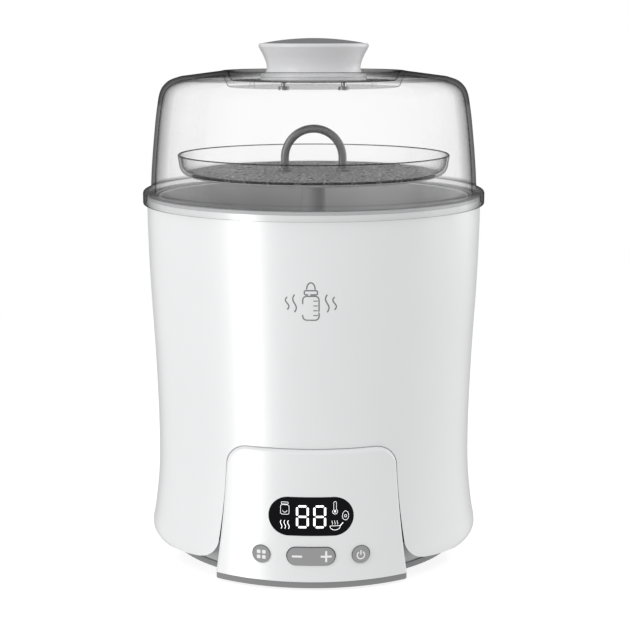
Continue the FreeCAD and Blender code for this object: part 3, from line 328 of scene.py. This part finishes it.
def metal(name, colour, roughness, brushed_mm=(0.3, 0.3, 12.0)):
    """Metal with fine marks drawn out along the third direction of brushed_mm."""
    mat, nodes, links, shader = shader_material(name)
    shader.inputs["Metallic"].default_value = 1.0
    place = nodes.new("ShaderNodeTexCoord")
    stretch = nodes.new("ShaderNodeMapping")
    stretch.inputs["Scale"].default_value = tuple(1.0 / (s * MM) for s in brushed_mm)
    marks = nodes.new("ShaderNodeTexNoise")
    marks.inputs["Scale"].default_value = 1.0
    marks.inputs["Detail"].default_value = 3.0
    links.new(place.outputs["Object"], stretch.inputs["Vector"])
    links.new(stretch.outputs["Vector"], marks.inputs["Vector"])
    dark = tuple(c * METAL_DARKER for c in colour) + (1,)
    light = tuple(min(1.0, c * METAL_LIGHTER) for c in colour) + (1,)
    shade = ramp(nodes, links, marks.outputs["Fac"], [(0.3, dark), (0.7, light)])
    links.new(shade, shader.inputs["Base Color"])
    smoother, rougher = roughness - METAL_ROUGHNESS_DRIFT, roughness + METAL_ROUGHNESS_DRIFT
    uneven = spread(nodes, links, marks.outputs["Fac"], smoother, rougher)
    links.new(uneven, shader.inputs["Roughness"])
    add_bump(nodes, links, shader, marks.outputs["Fac"], 0.01, 0.3)
    return mat


def facing(nodes):
    """0 where the surface is seen square on, 1 where it is seen edge on."""
    weight = nodes.new("ShaderNodeLayerWeight")
    weight.inputs["Blend"].default_value = 0.5
    return weight.outputs["Facing"]


def tint(*stops):
    """Ramp stops, from pairs of how edge on the wall is seen and what share of the light passes it there."""
    return tuple((edge_on, grey(share)) for edge_on, share in stops)


LID_TINT = tint(
    (0.0, 0.992), (0.4, 0.97), (0.56, 0.92), (0.63, 0.79), (0.7, 0.68), (0.77, 0.47), (0.86, 0.39), (1.0, 0.3)
)
SHOULDER_TINT = tint(
    (0.0, 0.992), (0.4, 0.97), (0.56, 0.92), (0.63, 0.79), (0.7, 0.63), (0.77, 0.4), (0.86, 0.28), (1.0, 0.2)
)
TOP_TINT = tint(
    (0.0, 0.99), (0.8, 0.97), (0.848, 0.93), (0.862, 0.62), (0.878, 0.36), (0.91, 0.22), (1.0, 0.1)
)
CREST_TINT = tint((0.0, 0.95), (0.5, 0.9), (0.66, 0.84), (0.72, 0.4), (0.87, 0.2), (1.0, 0.05))
UNDER_TINT = tint((0.0, 0.98), (0.8, 0.8), (0.95, 0.62), (1.0, 0.5))
SKIRT_TINT = tint((0.0, 0.98), (0.3, 0.96), (0.55, 0.9), (0.75, 0.5), (1.0, 0.12))
INSIDE_TINT = tint((0.0, 0.995), (0.8, 0.98), (0.855, 0.93), (0.88, 0.7), (1.0, 0.4))
TRAY_TINT = tint((0.0, 0.985), (0.5, 0.975), (0.7, 0.9), (0.85, 0.66), (1.0, 0.35))
RIM_TINT = tint((0.0, 0.6), (0.6, 0.3), (1.0, 0.15))


def clear_material(name, stops, most_gloss, roughness=0.25):
    """Clear plastic: light passes straight through, more tinted where the wall is seen edge on."""
    mat, nodes, links, shader = shader_material(name)
    nodes.remove(shader)
    through = nodes.new("ShaderNodeBsdfTransparent")
    links.new(ramp(nodes, links, facing(nodes), stops), through.inputs["Color"])
    shine = nodes.new("ShaderNodeBsdfGlossy")
    smear = noise(nodes, links, 9.0, 3.0)
    uneven = spread(nodes, links, smear, roughness * 0.8, roughness * 1.2)
    links.new(uneven, shine.inputs["Roughness"])
    mirror = nodes.new("ShaderNodeFresnel")
    mirror.inputs["IOR"].default_value = CLEAR_IOR
    mix = nodes.new("ShaderNodeMixShader")
    gloss = spread(nodes, links, mirror.outputs["Fac"], LEAST_GLOSS, most_gloss, 0.05, 1.0)
    links.new(gloss, mix.inputs["Fac"])
    links.new(through.outputs["BSDF"], mix.inputs[1])
    links.new(shine.outputs["BSDF"], mix.inputs[2])
    links.new(mix.outputs["Shader"], nodes["Material Output"].inputs["Surface"])
    return mat


def tray_floor_material():
    """Smoky plastic with light specks."""
    mat, nodes, links, shader = shader_material("tray_floor")
    speck = noise(nodes, links, 1.6, 3.0, 0.7)
    smoke = ramp(nodes, links, speck, [(0.4, grey(0.14)), (0.55, grey(0.2)), (0.6, grey(0.8))])
    links.new(smoke, shader.inputs["Base Color"])
    fine = noise(nodes, links, 0.5, 2.0)
    links.new(spread(nodes, links, fine, 0.3, 0.5), shader.inputs["Roughness"])
    add_bump(nodes, links, shader, speck, 0.3, 0.6)
    return mat


def window_material():
    """The black display window, a little smeared."""
    mat, nodes, links, shader = shader_material("display_glass")
    cloud = noise(nodes, links, 20.0, 2.0)
    shade = ramp(nodes, links, cloud, [(0.3, (0.003, 0.003, 0.004, 1)), (0.7, (0.005, 0.005, 0.006, 1))])
    links.new(shade, shader.inputs["Base Color"])
    smear = noise(nodes, links, 6.0, 3.0)
    links.new(spread(nodes, links, smear, 0.06, 0.16), shader.inputs["Roughness"])
    shader.inputs["Specular IOR Level"].default_value = 0.08
    return mat


def lit_material():
    """The lit marks of the display: bright, and a little uneven along each segment."""
    mat, nodes, links, shader = shader_material("display_light")
    shader.inputs["Base Color"].default_value = grey(0.8)
    glow = noise(nodes, links, 3.0, 1.0)
    light = ramp(nodes, links, glow, [(0.3, grey(0.85)), (0.7, grey(1.0))])
    links.new(light, shader.inputs["Emission Color"])
    shader.inputs["Emission Strength"].default_value = 1.0
    return mat


def fleece_material():
    """The filter's soft fibres."""
    mat, nodes, links, shader = shader_material("filter_fleece")
    fibre = noise(nodes, links, 0.4, 6.0, 0.8)
    links.new(ramp(nodes, links, fibre, [(0.3, grey(0.55)), (0.7, grey(0.85))]), shader.inputs["Base Color"])
    shader.inputs["Roughness"].default_value = 0.95
    shader.inputs["Sheen Weight"].default_value = 0.3
    add_bump(nodes, links, shader, fibre, 0.3, 0.8)
    return mat


def make_materials():
    """Every paint by its name: the record's material slots, and the few that only this script uses."""
    return {
        "white_gloss": moulded("white_gloss", (0.78, 0.785, 0.79), 0.33, 0.7, 0.01, 0.008, 60.0),
        "white_matte": moulded("white_matte", (0.7, 0.7, 0.69), 0.5),
        "light_grey": moulded("light_grey", (0.5, 0.5, 0.51), 0.4),
        "mid_grey": moulded("mid_grey", (0.24, 0.24, 0.245), 0.42, 0.5, 0.03),
        "knob_white": moulded("knob_white", (0.68, 0.68, 0.69), 0.33, 0.7, 0.01, 0.008, 60.0),
        "basket_grey": moulded("basket_grey", (0.7, 0.7, 0.705), 0.5, 0.5, 0.02),
        "column_grey": moulded("column_grey", (0.52, 0.52, 0.525), 0.5, 0.5, 0.02),
        "handle_grey": moulded("handle_grey", (0.15, 0.15, 0.155), 0.16, 0.5, 0.01, gloss=0.9),
        "button_grey": moulded("button_grey", (0.3, 0.3, 0.305), 0.4, 0.4, 0.03),
        "skirt_grey": moulded("skirt_grey", (0.85, 0.85, 0.855), 0.5),
        "cap_grey": moulded("cap_grey", (0.21, 0.21, 0.215), 0.5, 0.6, 0.02, gloss=0.01),
        "black_window": window_material(),
        "black_plastic": moulded("black_plastic", (0.02, 0.02, 0.021), 0.45, 0.5, 0.05, 0.15),
        "clear_lid": clear_material("clear_lid", LID_TINT, 0.06),
        "clear_shoulder": clear_material("clear_shoulder", SHOULDER_TINT, 0.06),
        "clear_top": clear_material("clear_top", TOP_TINT, 0.06),
        "clear_crest": clear_material("clear_crest", CREST_TINT, 0.06),
        "clear_below": clear_material("clear_below", UNDER_TINT, 0.04),
        "clear_skirt": clear_material("clear_skirt", SKIRT_TINT, 0.35, 0.15),
        "clear_inside": clear_material("clear_inside", INSIDE_TINT, 0.04),
        "clear_tray": clear_material("clear_tray", TRAY_TINT, 0.06),
        "clear_rim": clear_material("clear_rim", RIM_TINT, 0.06),
        "tray_floor": tray_floor_material(),
        # Painted light: the tray floor's outer edge is the same smoky plastic as the floor, painted far
        # lighter to stand in for light reaching it through the plastic.
        "tray_edge_painted_light": moulded("tray_edge_painted_light", (0.75, 0.75, 0.755), 0.5, 0.8, 0.02, 0.15, 2.0, gloss=0.1),
        "rubber": moulded("rubber", (0.03, 0.03, 0.031), 0.75, 0.4, 0.08, 0.15),
        "silicone": moulded("silicone", (0.6, 0.6, 0.58), 0.55, 0.6, 0.04),
        "stainless": metal("stainless", (0.62, 0.62, 0.61), 0.28, (12.0, 0.3, 0.3)),
        "steel": metal("steel", (0.5, 0.5, 0.5), 0.35),
        "cast_aluminium": metal("cast_aluminium", (0.6, 0.6, 0.62), 0.5, (1.0, 1.0, 1.0)),
        "circuit_board": moulded("circuit_board", (0.01, 0.12, 0.04), 0.35, 1.2, 0.05, 0.25, 3.0),
        "filter_media": fleece_material(),
        "print_white": moulded("print_white", (0.85, 0.85, 0.85), 0.45, 0.3, 0.01),
        "print_grey": moulded("print_grey", (0.16, 0.16, 0.165), 0.5, 0.3, 0.01),
        "display_light": lit_material(),
    }


# These nodes have a paint of their own, and the others have that of their material slot.
OWN_PAINT = {
    "lid_knob": "knob_white",
    "basket_column": "column_grey",
    "tray_handle": "handle_grey",
    "panel_skirt": "skirt_grey",
}
NODE_EDGE_DEGREES = 28


def paint_nodes(materials):
    """Gives every CAD node its paint, with smooth faces and crisp edges."""
    for part in frame["record"]["subparts"]:
        node = NODES[part["node"]]
        paint = OWN_PAINT.get(part["node"], part["material_slot"])
        node.data.materials.clear()
        node.data.materials.append(materials[paint])
        for face in node.data.polygons:
            face.use_smooth = True
        keep_sharp = node.modifiers.new("edges", "EDGE_SPLIT")
        keep_sharp.split_angle = math.radians(NODE_EDGE_DEGREES)


# ------------------------------------------------------------------ turned clear pieces

# Radii and heights in millimetres; the two lid profiles run upwards as (radius, height).
LID_OUTER = (
    (109.3, 246.6), (108.7, 257), (107.7, 269), (106.6, 280), (105.4, 291), (104.1, 300), (103.0, 306),
    (101.6, 310), (99.3, 313.3), (95.4, 316.3), (89.0, 318.5),
)
LID_INNER = (
    (106.9, 246.6), (106.3, 257), (105.3, 269), (104.2, 280), (103.0, 290.6), (101.7, 299.2), (100.7, 304.6),
    (99.5, 308), (97.5, 310.8), (94.2, 313.4), (88.6, 315.8),
)
SHOULDER_START = 5
SKIRT_R, SKIRT_INNER_R = 114.8, 112.7
SKIRT_LOW, SKIRT_RECESS, SKIRT_HIGH = 234.6, 240.9, 243.9
RIDGE_R, RIDGE_Z = 60.0, 322.4
WELL_R, WELL_FLOOR, WELL_UNDER = 55.0, 315.8, 311.6
KNOB_SCREW_X, KNOB_SCREW_HOLE_R = 20, 1.7
VENT_RING_R, VENT_HOLE_R, VENT_DEGREES = 46, 1.6, (90, 210, 330)
TRAY_UNDER, TRAY_FLOOR_TOP, TRAY_FLAT_R = 252.4, 255.2, 82.0
TRAY_WALL_OUTER, TRAY_WALL_INNER, TRAY_WALL_TOP = 91.3, 89.7, 266.4
# How many points of the tray floor's outer edge take the lighter paint that stands in for light through the
# smoky plastic.
TRAY_PAINTED_EDGE_POINTS = 4
DRAIN_RINGS, DRAIN_HOLE_R = ((34.0, 12), (52.0, 18), (70.0, 24)), 2.0
HANDLE_FOOT_X, HANDLE_HOLE_R = 19.4, 1.9
DRILL_FROM, DRILL_TO = 240 * MM, 330 * MM
TURN_STEPS = 192
TURNED_EDGE_DEGREES = 32
TINY = 1e-6


def between(p, q, r, s, t):
    """The value a share t of the way from q to r, on the smooth curve that comes from p and goes on to s."""
    straight = (r - p) * t
    square = (2 * p - 5 * q + 4 * r - s) * t * t
    cube = (3 * q - p - 3 * r + s) * t ** 3
    return 0.5 * (2 * q + straight + square + cube)


def smooth_line(points, steps=5):
    """Points along a smooth curve through the given points."""
    ends = [points[0]] + list(points) + [points[-1]]
    line = []
    for four in zip(ends, ends[1:], ends[2:], ends[3:]):
        for i in range(steps):
            line.append(tuple(between(*values, i / steps) for values in zip(*four)))
    return line + [tuple(points[-1])]


def bend(a, through, b, steps=6):
    """Points along the parabola from a to b that passes through a third point half way."""
    middle = [2 * m - (p + q) / 2 for p, m, q in zip(a, through, b)]
    line = []
    for i in range(steps + 1):
        t = i / steps
        weighted = [(1 - t) ** 2 * p + 2 * t * (1 - t) * m + t * t * q for p, m, q in zip(a, middle, b)]
        line.append(tuple(weighted))
    return line


def flat_run(a, b, margin=0.08):
    """The straight line from a to b, with a stop just inside each end so that its shading stays flat."""
    return [tuple(p + (q - p) * t for p, q in zip(a, b)) for t in (0, margin, 1 - margin, 1)]


def ring_points(radius, count, first=0):
    """Points spread evenly round a circle about the vertical axis, from the angle first on, in radians."""
    angles = [2 * math.pi * i / count + first for i in range(count)]
    return [(radius * math.cos(angle), radius * math.sin(angle)) for angle in angles]


def turn(name, runs):
    """A closed turned solid. Each run is a material and points as (radius, height) in millimetres."""
    outline, paints, used = [], [], []
    for material, points in runs:
        if material not in used:
            used.append(material)
        paint = used.index(material)
        if outline:
            paints[-1] = paint
        for point in points:
            if not outline or math.dist(point, outline[-1]) > TINY:
                outline.append(point)
                paints.append(paint)
    mesh = bmesh.new()
    rings = []
    for radius, height in outline:
        if radius < TINY:
            rings.append([mesh.verts.new((0, 0, height * MM))] * TURN_STEPS)
        else:
            places = ring_points(radius * MM, TURN_STEPS)
            rings.append([mesh.verts.new((x, y, height * MM)) for x, y in places])
    for i, paint in enumerate(paints):
        low, high = rings[i], rings[(i + 1) % len(rings)]
        if low[0] is low[1] and high[0] is high[1]:
            continue
        for here in range(TURN_STEPS):
            there = (here + 1) % TURN_STEPS
            corners = []
            for vert in (low[here], low[there], high[there], high[here]):
                if vert not in corners:
                    corners.append(vert)
            face = mesh.faces.new(corners)
            face.material_index = paint
            face.smooth = True
    bmesh.ops.recalc_face_normals(mesh, faces=mesh.faces)
    data = bpy.data.meshes.new(name)
    mesh.to_mesh(data)
    mesh.free()
    for material in used:
        data.materials.append(material)
    made = bpy.data.objects.new(name, data)
    bpy.context.scene.collection.objects.link(made)
    return made


def drill(piece, spots):
    """Cuts upright round holes, each given as (x, y, radius) in millimetres, through the piece."""
    mesh = bmesh.new()
    length, middle = DRILL_TO - DRILL_FROM, (DRILL_FROM + DRILL_TO) / 2
    for x, y, radius in spots:
        made = bmesh.ops.create_cone(
            mesh, cap_ends=True, segments=16, radius1=radius * MM, radius2=radius * MM, depth=length
        )
        bmesh.ops.translate(mesh, verts=made["verts"], vec=(x * MM, y * MM, middle))
    data = bpy.data.meshes.new("drill")
    mesh.to_mesh(data)
    mesh.free()
    cutter = bpy.data.objects.new("drill", data)
    bpy.context.scene.collection.objects.link(cutter)
    cut = piece.modifiers.new("holes", "BOOLEAN")
    cut.object = cutter
    cut.operation = "DIFFERENCE"
    cut.solver = "EXACT"
    graph = bpy.context.evaluated_depsgraph_get()
    holed = bpy.data.meshes.new_from_object(piece.evaluated_get(graph))
    piece.modifiers.clear()
    piece.data = holed
    bpy.data.objects.remove(cutter)


def finish_turned(piece, node, body):
    """Puts a turned piece in the place of its CAD node; it is clear, so it throws no shadow."""
    keep_sharp = piece.modifiers.new("edges", "EDGE_SPLIT")
    keep_sharp.split_angle = math.radians(TURNED_EDGE_DEGREES)
    piece.visible_shadow = False
    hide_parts(node)
    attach(piece, body)


def skirt_outline():
    """The skirt's outside, from its inner lower corner round and up to the foot of the dome."""
    lower_corner = (SKIRT_R - 1.0, SKIRT_LOW)
    upper_corner = (SKIRT_R - 1.9, SKIRT_HIGH)
    points = [(SKIRT_INNER_R, SKIRT_LOW), lower_corner]
    points += bend(lower_corner, (SKIRT_R - 0.3, 234.9), (SKIRT_R, 235.6))
    points += bend((SKIRT_R, 241.8), (SKIRT_R - 0.6, 243.1), upper_corner)
    return points + bend(upper_corner, (110.9, 244.7), LID_OUTER[0], 5)


def well_outline():
    """The well in the lid's top, from its round upper corner down to its floor and in to the axis."""
    wall, floor = (WELL_R + 0.8, WELL_FLOOR + 1.1), (WELL_R - 0.9, WELL_FLOOR)
    return bend(wall, (WELL_R + 0.1, WELL_FLOOR + 0.3), floor) + [(WELL_R - 2.0, WELL_FLOOR), (0, WELL_FLOOR)]


def underside_outline():
    """The inside of the lid's top, from the well's lower corner round the ridge and out to the dome."""
    corner, wall = (WELL_R + 1.0, WELL_UNDER), (WELL_R + 3.0, WELL_UNDER + 1.6)
    points = bend(corner, (WELL_R + 2.4, WELL_UNDER + 0.5), wall)
    ridge_in, ridge_out = (RIDGE_R + 0.4, RIDGE_Z - 3.6), (RIDGE_R + 1.8, RIDGE_Z - 2.9)
    points += bend(ridge_in, (RIDGE_R + 0.9, RIDGE_Z - 3.1), ridge_out)
    return points + flat_run(ridge_out, LID_INNER[-1])


def clear_lid(materials):
    """The clear lid, in runs that each have their own tint, with the knob's screw holes and three vents."""
    side = smooth_line(LID_OUTER)
    shoulder = side.index(LID_OUTER[SHOULDER_START])
    ridge_foot, ridge_end = (RIDGE_R + 1.6, RIDGE_Z - 0.3), (RIDGE_R - 2.4, RIDGE_Z - 1.0)
    outline = [
        ("clear_skirt", skirt_outline()),
        ("clear_lid", side[:shoulder + 1]),
        ("clear_shoulder", side[shoulder:]),
        ("clear_top", flat_run(LID_OUTER[-1], ridge_foot)),
        ("clear_crest", bend(ridge_foot, (RIDGE_R - 0.5, RIDGE_Z), ridge_end)),
        ("clear_top", [ridge_end] + well_outline()),
        ("clear_below", [(0, WELL_UNDER), (WELL_R, WELL_UNDER)]),
        ("clear_inside", underside_outline()),
        ("clear_inside", smooth_line(LID_INNER)[::-1]),
        ("clear_inside", [(LID_INNER[0][0], SKIRT_RECESS), (SKIRT_INNER_R, SKIRT_RECESS)]),
    ]
    lid = turn("lid_clear", [(materials[name], points) for name, points in outline])
    spots = [(x, 0, KNOB_SCREW_HOLE_R) for x in (-KNOB_SCREW_X, KNOB_SCREW_X)]
    for degrees in VENT_DEGREES:
        angle = math.radians(degrees)
        spots.append((VENT_RING_R * math.cos(angle), VENT_RING_R * math.sin(angle), VENT_HOLE_R))
    drill(lid, spots)
    finish_turned(lid, "lid_dome", "lid")


def clear_tray(materials):
    """The tray: a smoky floor with drain holes whose outer edge is painted lighter than the floor as painted
    light, and a clear wall with a rounded lip.
    """
    flat, low, high = TRAY_FLAT_R, TRAY_UNDER, TRAY_FLOOR_TOP
    outer_top, inner_top = (TRAY_WALL_OUTER, TRAY_WALL_TOP), (TRAY_WALL_INNER, TRAY_WALL_TOP)
    outside = bend((flat, low), (87.9, 255.0), (90.4, 260.4), 10)
    inside = bend((88.8, 260.7), (86.6, 256.7), (flat, high), 10)
    outline = [
        ("tray_floor", [(0, low), (flat - 1.5, low), (flat, low)]),
        # Painted light: the floor's outer edge is painted lighter than the smoky floor.
        ("tray_edge_painted_light", outside[:TRAY_PAINTED_EDGE_POINTS + 1]),
        ("clear_tray", outside[TRAY_PAINTED_EDGE_POINTS:] + [outer_top]),
        ("clear_rim", bend(outer_top, (90.5, 267.2), inner_top, 8)),
        ("clear_tray", [inner_top] + inside),
        ("tray_floor", [(flat, high), (flat - 1.5, high), (0, high)]),
    ]
    tray = turn("tray_clear", [(materials[name], points) for name, points in outline])
    spots = []
    for radius, count in DRAIN_RINGS:
        spots += [(x, y, DRAIN_HOLE_R) for x, y in ring_points(radius, count, math.pi / count)]
    drill(tray, spots + [(x, 0, HANDLE_HOLE_R) for x in (-HANDLE_FOOT_X, HANDLE_FOOT_X)])
    finish_turned(tray, "accessory_tray", "tray")


# ------------------------------------------------------------------ printed and lit marks


SIGN_LIFT, PRINT_LIFT, MARK_SINK = 0.08 * MM, 0.05 * MM, 0.06 * MM
IN_FRONT_Y = -1.0
FINE_LINE, MOTIF_LINE = 0.22, 0.8
MOTIF_HEIGHT = 186


class Marks:
    """Thin flat shapes, drawn in millimetres in the XZ plane and laid on the front of a CAD node."""

    def __init__(self, name, node, centre, lift=PRINT_LIFT):
        self.name = name
        self.centre = centre
        self.lift = lift
        self.mesh = bmesh.new()
        source = bmesh.new()
        source.from_mesh(NODES[node].data)
        self.tree = BVHTree.FromBMesh(source)
        source.free()

    def surface(self, point):
        """The place on the node's front face that lies behind a drawn point."""
        x = (self.centre[0] + point[0]) * MM
        z = (self.centre[1] + point[1]) * MM
        start = Vector((x, IN_FRONT_Y, z))
        hit = self.tree.ray_cast(start, Vector((0, 1, 0)))[0]
        return hit if hit else Vector((x, self.tree.find_nearest(start)[0].y, z))

    def pair(self, point):
        """The outer and the sunk vertex for one drawn point."""
        spot = self.surface(point)
        outer = self.mesh.verts.new(spot - Vector((0, self.lift, 0)))
        inner = self.mesh.verts.new(spot + Vector((0, MARK_SINK, 0)))
        return outer, inner

    def plate(self, outline):
        """A filled shape with this outline."""
        pairs = [self.pair(p) for p in outline]
        self.mesh.faces.new([p[0] for p in pairs])
        self.mesh.faces.new([p[1] for p in reversed(pairs)])
        for a, b in zip(pairs, pairs[1:] + pairs[:1]):
            self.mesh.faces.new((a[0], a[1], b[1], b[0]))

    def stroke(self, points, width, closed=False):
        """A line of this width through the points."""
        count = len(points)
        rails = []
        for i, (x, z) in enumerate(points):
            before = points[i - 1] if i or closed else points[0]
            after = points[(i + 1) % count] if i + 1 < count or closed else points[-1]
            dx, dz = after[0] - before[0], after[1] - before[1]
            length = math.hypot(dx, dz)
            nx, nz = -dz / length * width / 2, dx / length * width / 2
            rails.append((self.pair((x + nx, z + nz)), self.pair((x - nx, z - nz))))
        follow = zip(rails, rails[1:] + rails[:1]) if closed else zip(rails, rails[1:])
        for (a, b), (c, d) in follow:
            self.mesh.faces.new((a[0], c[0], d[0], b[0]))
            self.mesh.faces.new((a[1], b[1], d[1], c[1]))
            self.mesh.faces.new((a[0], a[1], c[1], c[0]))
            self.mesh.faces.new((b[0], d[0], d[1], b[1]))
        if not closed:
            for (a, b), flip in ((rails[0], False), (rails[-1], True)):
                ends = (a[0], b[0], b[1], a[1])
                self.mesh.faces.new(tuple(reversed(ends)) if flip else ends)

    def finish(self, material, body):
        """Makes the drawn shapes one piece that rides on a body."""
        bmesh.ops.recalc_face_normals(self.mesh, faces=self.mesh.faces)
        data = bpy.data.meshes.new(self.name)
        self.mesh.to_mesh(data)
        self.mesh.free()
        data.materials.append(material)
        made = bpy.data.objects.new(self.name, data)
        bpy.context.scene.collection.objects.link(made)
        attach(made, body)


def arc_points(cx, cz, rx, rz, start, end, count=16):
    """Points along an ellipse's arc, in degrees, anticlockwise from +X."""
    angles = [math.radians(start + (end - start) * i / (count - 1)) for i in range(count)]
    return [(cx + rx * math.cos(a), cz + rz * math.sin(a)) for a in angles]


def rounded(cx, cz, width, height, corner, count=5):
    """The outline of a rounded rectangle."""
    w, h = width / 2 - corner, height / 2 - corner
    points = []
    for x, z, start in ((w, h, 0), (-w, h, 90), (-w, -h, 180), (w, -h, 270)):
        points += arc_points(cx + x, cz + z, corner, corner, start, start + 90, count)
    return points


def wave(x, z, height, sway, steps=12):
    """An upright S-shaped wisp that starts at (x, z)."""
    shares = [i / steps for i in range(steps + 1)]
    return [(x + sway * math.sin(2 * math.pi * share), z + height * share) for share in shares]


def plus_outline(cx, cz, reach, half):
    """The outline of a plus whose arms are reach long and half wide each side."""
    corner = [(reach, -half), (reach, half), (half, half)]
    points = []
    for quarter in range(4):
        for x, z in corner:
            for _ in range(quarter):
                x, z = -z, x
            points.append((cx + x, cz + z))
    return points


def digit(marks, cx, cz):
    """A seven-segment figure eight."""
    half_w, half_h, bar = 3.35, 6.75, 1.4
    for dz in (-half_h, 0, half_h):
        marks.plate(rounded(cx, cz + dz, 5.2, bar * 0.95, 0.62))
    for dx in (-half_w, half_w):
        for dz in (-half_h / 2, half_h / 2):
            marks.plate(rounded(cx + dx, cz + dz, bar, 5.4, 0.62))


def display_marks(materials, centre):
    """Two digits and five small signs: a bottle, steam, a thermometer, a steaming pan and an egg."""
    lit = Marks("display_signs", "display_window", centre, SIGN_LIFT)
    for cx in (-5.4, 5.5):
        digit(lit, cx, -0.2)
    # The bottle: its body, its cap and a curve inside.
    lit.stroke(rounded(-16.5, 4.2, 5.4, 6.2, 1.2), FINE_LINE, True)
    lit.stroke(rounded(-16.5, 8.4, 4.4, 1.3, 0.5), FINE_LINE, True)
    lit.stroke(arc_points(-16.5, 4.4, 1.5, 2.0, 200, 340, 9), FINE_LINE)
    # Three wisps of steam.
    for i in range(3):
        lit.stroke(wave(-18.8 + 2.3 * i, -8.2, 5.4, 0.5), 0.4)
    # The thermometer: its tube, its bulb and the liquid.
    lit.stroke(rounded(15.1, 6.6, 1.7, 5.8, 0.8), 0.2, True)
    lit.stroke(arc_points(15.1, 3.0, 1.6, 1.6, 130, 410, 16), FINE_LINE)
    lit.plate(arc_points(15.1, 3.0, 0.6, 0.6, 0, 330, 12))
    # The pan: its bowl, its rim, its handle and three wisps of steam over it.
    lit.stroke(arc_points(15.2, -6.2, 3.3, 2.7, 180, 360, 14), 0.28)
    lit.stroke([(11.9, -6.2), (18.5, -6.2)], 0.25)
    lit.stroke([(18.2, -6.4), (20.2, -4.2)], 0.5)
    for i in range(3):
        lit.stroke(wave(13.4 + 1.6 * i, -5.3, 2.5, 0.25), FINE_LINE)
    # The egg: a blunt lower half, a longer upper half and a yolk.
    lower_half = arc_points(21.7, -0.1, 2.0, 2.6, -180, 0, 12)
    upper_half = arc_points(21.7, -0.1, 2.0, 3.3, 0, 180, 14)
    lit.stroke(lower_half[:-1] + upper_half[:-1], FINE_LINE, True)
    lit.stroke(arc_points(21.7, 0.0, 0.8, 0.8, 0, 345, 12), 0.2, True)
    lit.finish(materials["display_light"], "housing")


def button_marks(materials, height, reach):
    """The signs on the buttons: four squares, minus and plus, and a broken ring with a bar."""
    mode = Marks("mode_sign", "mode_button", (-reach, height))
    for dx in (-1.65, 1.65):
        for dz in (-1.65, 1.65):
            mode.plate(rounded(dx, dz, 2.3, 2.3, 0.5))
    mode.finish(materials["print_white"], "mode_key")
    rocker = Marks("rocker_signs", "adjust_rocker", (0, height))
    rocker.plate(rounded(-8.8, 0, 6.6, 1.3, 0.5))
    rocker.plate(plus_outline(9.6, 0, 3.5, 0.65))
    rocker.finish(materials["print_white"], "rocker")
    power = Marks("power_sign", "power_button", (reach, height))
    power.stroke(arc_points(0, -0.3, 2.35, 2.35, 120, 420, 24), 0.75)
    power.plate(rounded(0, 1.4, 0.8, 3.2, 0.35))
    power.finish(materials["print_white"], "power_key")


def body_motif(materials):
    """A plain printed sign on the front of the body: a feeding bottle between four wisps of steam."""
    sign = Marks("body_sign", "outer_shell", (0, MOTIF_HEIGHT))
    sign.stroke(rounded(0, -4.5, 10, 15, 2.4), MOTIF_LINE, True)
    sign.stroke(rounded(0, 5.2, 8, 2.6, 0.8), MOTIF_LINE, True)
    sign.stroke(arc_points(0, 7.2, 2.6, 4.2, 0, 180, 15), MOTIF_LINE)
    for i in range(4):
        sign.stroke([(1.5, -9 + 3 * i), (4.2, -9 + 3 * i)], 0.6)
    for side in (-1, 1):
        for i in range(2):
            sign.stroke(wave(side * (10 + 4.5 * i), -7 + 1.5 * i, 11 - 3 * i, 1.1), MOTIF_LINE)
    sign.finish(materials["print_grey"], "housing")


# ------------------------------------------------------------------ put together

materials = make_materials()
make_stage()
make_lights()
make_camera()
paint_nodes(materials)
clear_lid(materials)
clear_tray(materials)

window_low, window_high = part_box("display_window")
power_low, power_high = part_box("power_button")
display_centre = (0.0, (window_low.z + window_high.z) / 2 / MM)
key_height = (power_low.z + power_high.z) / 2 / MM
key_reach = (power_low.x + power_high.x) / 2 / MM
display_marks(materials, display_centre)
button_marks(materials, key_height, key_reach)
body_motif(materials)
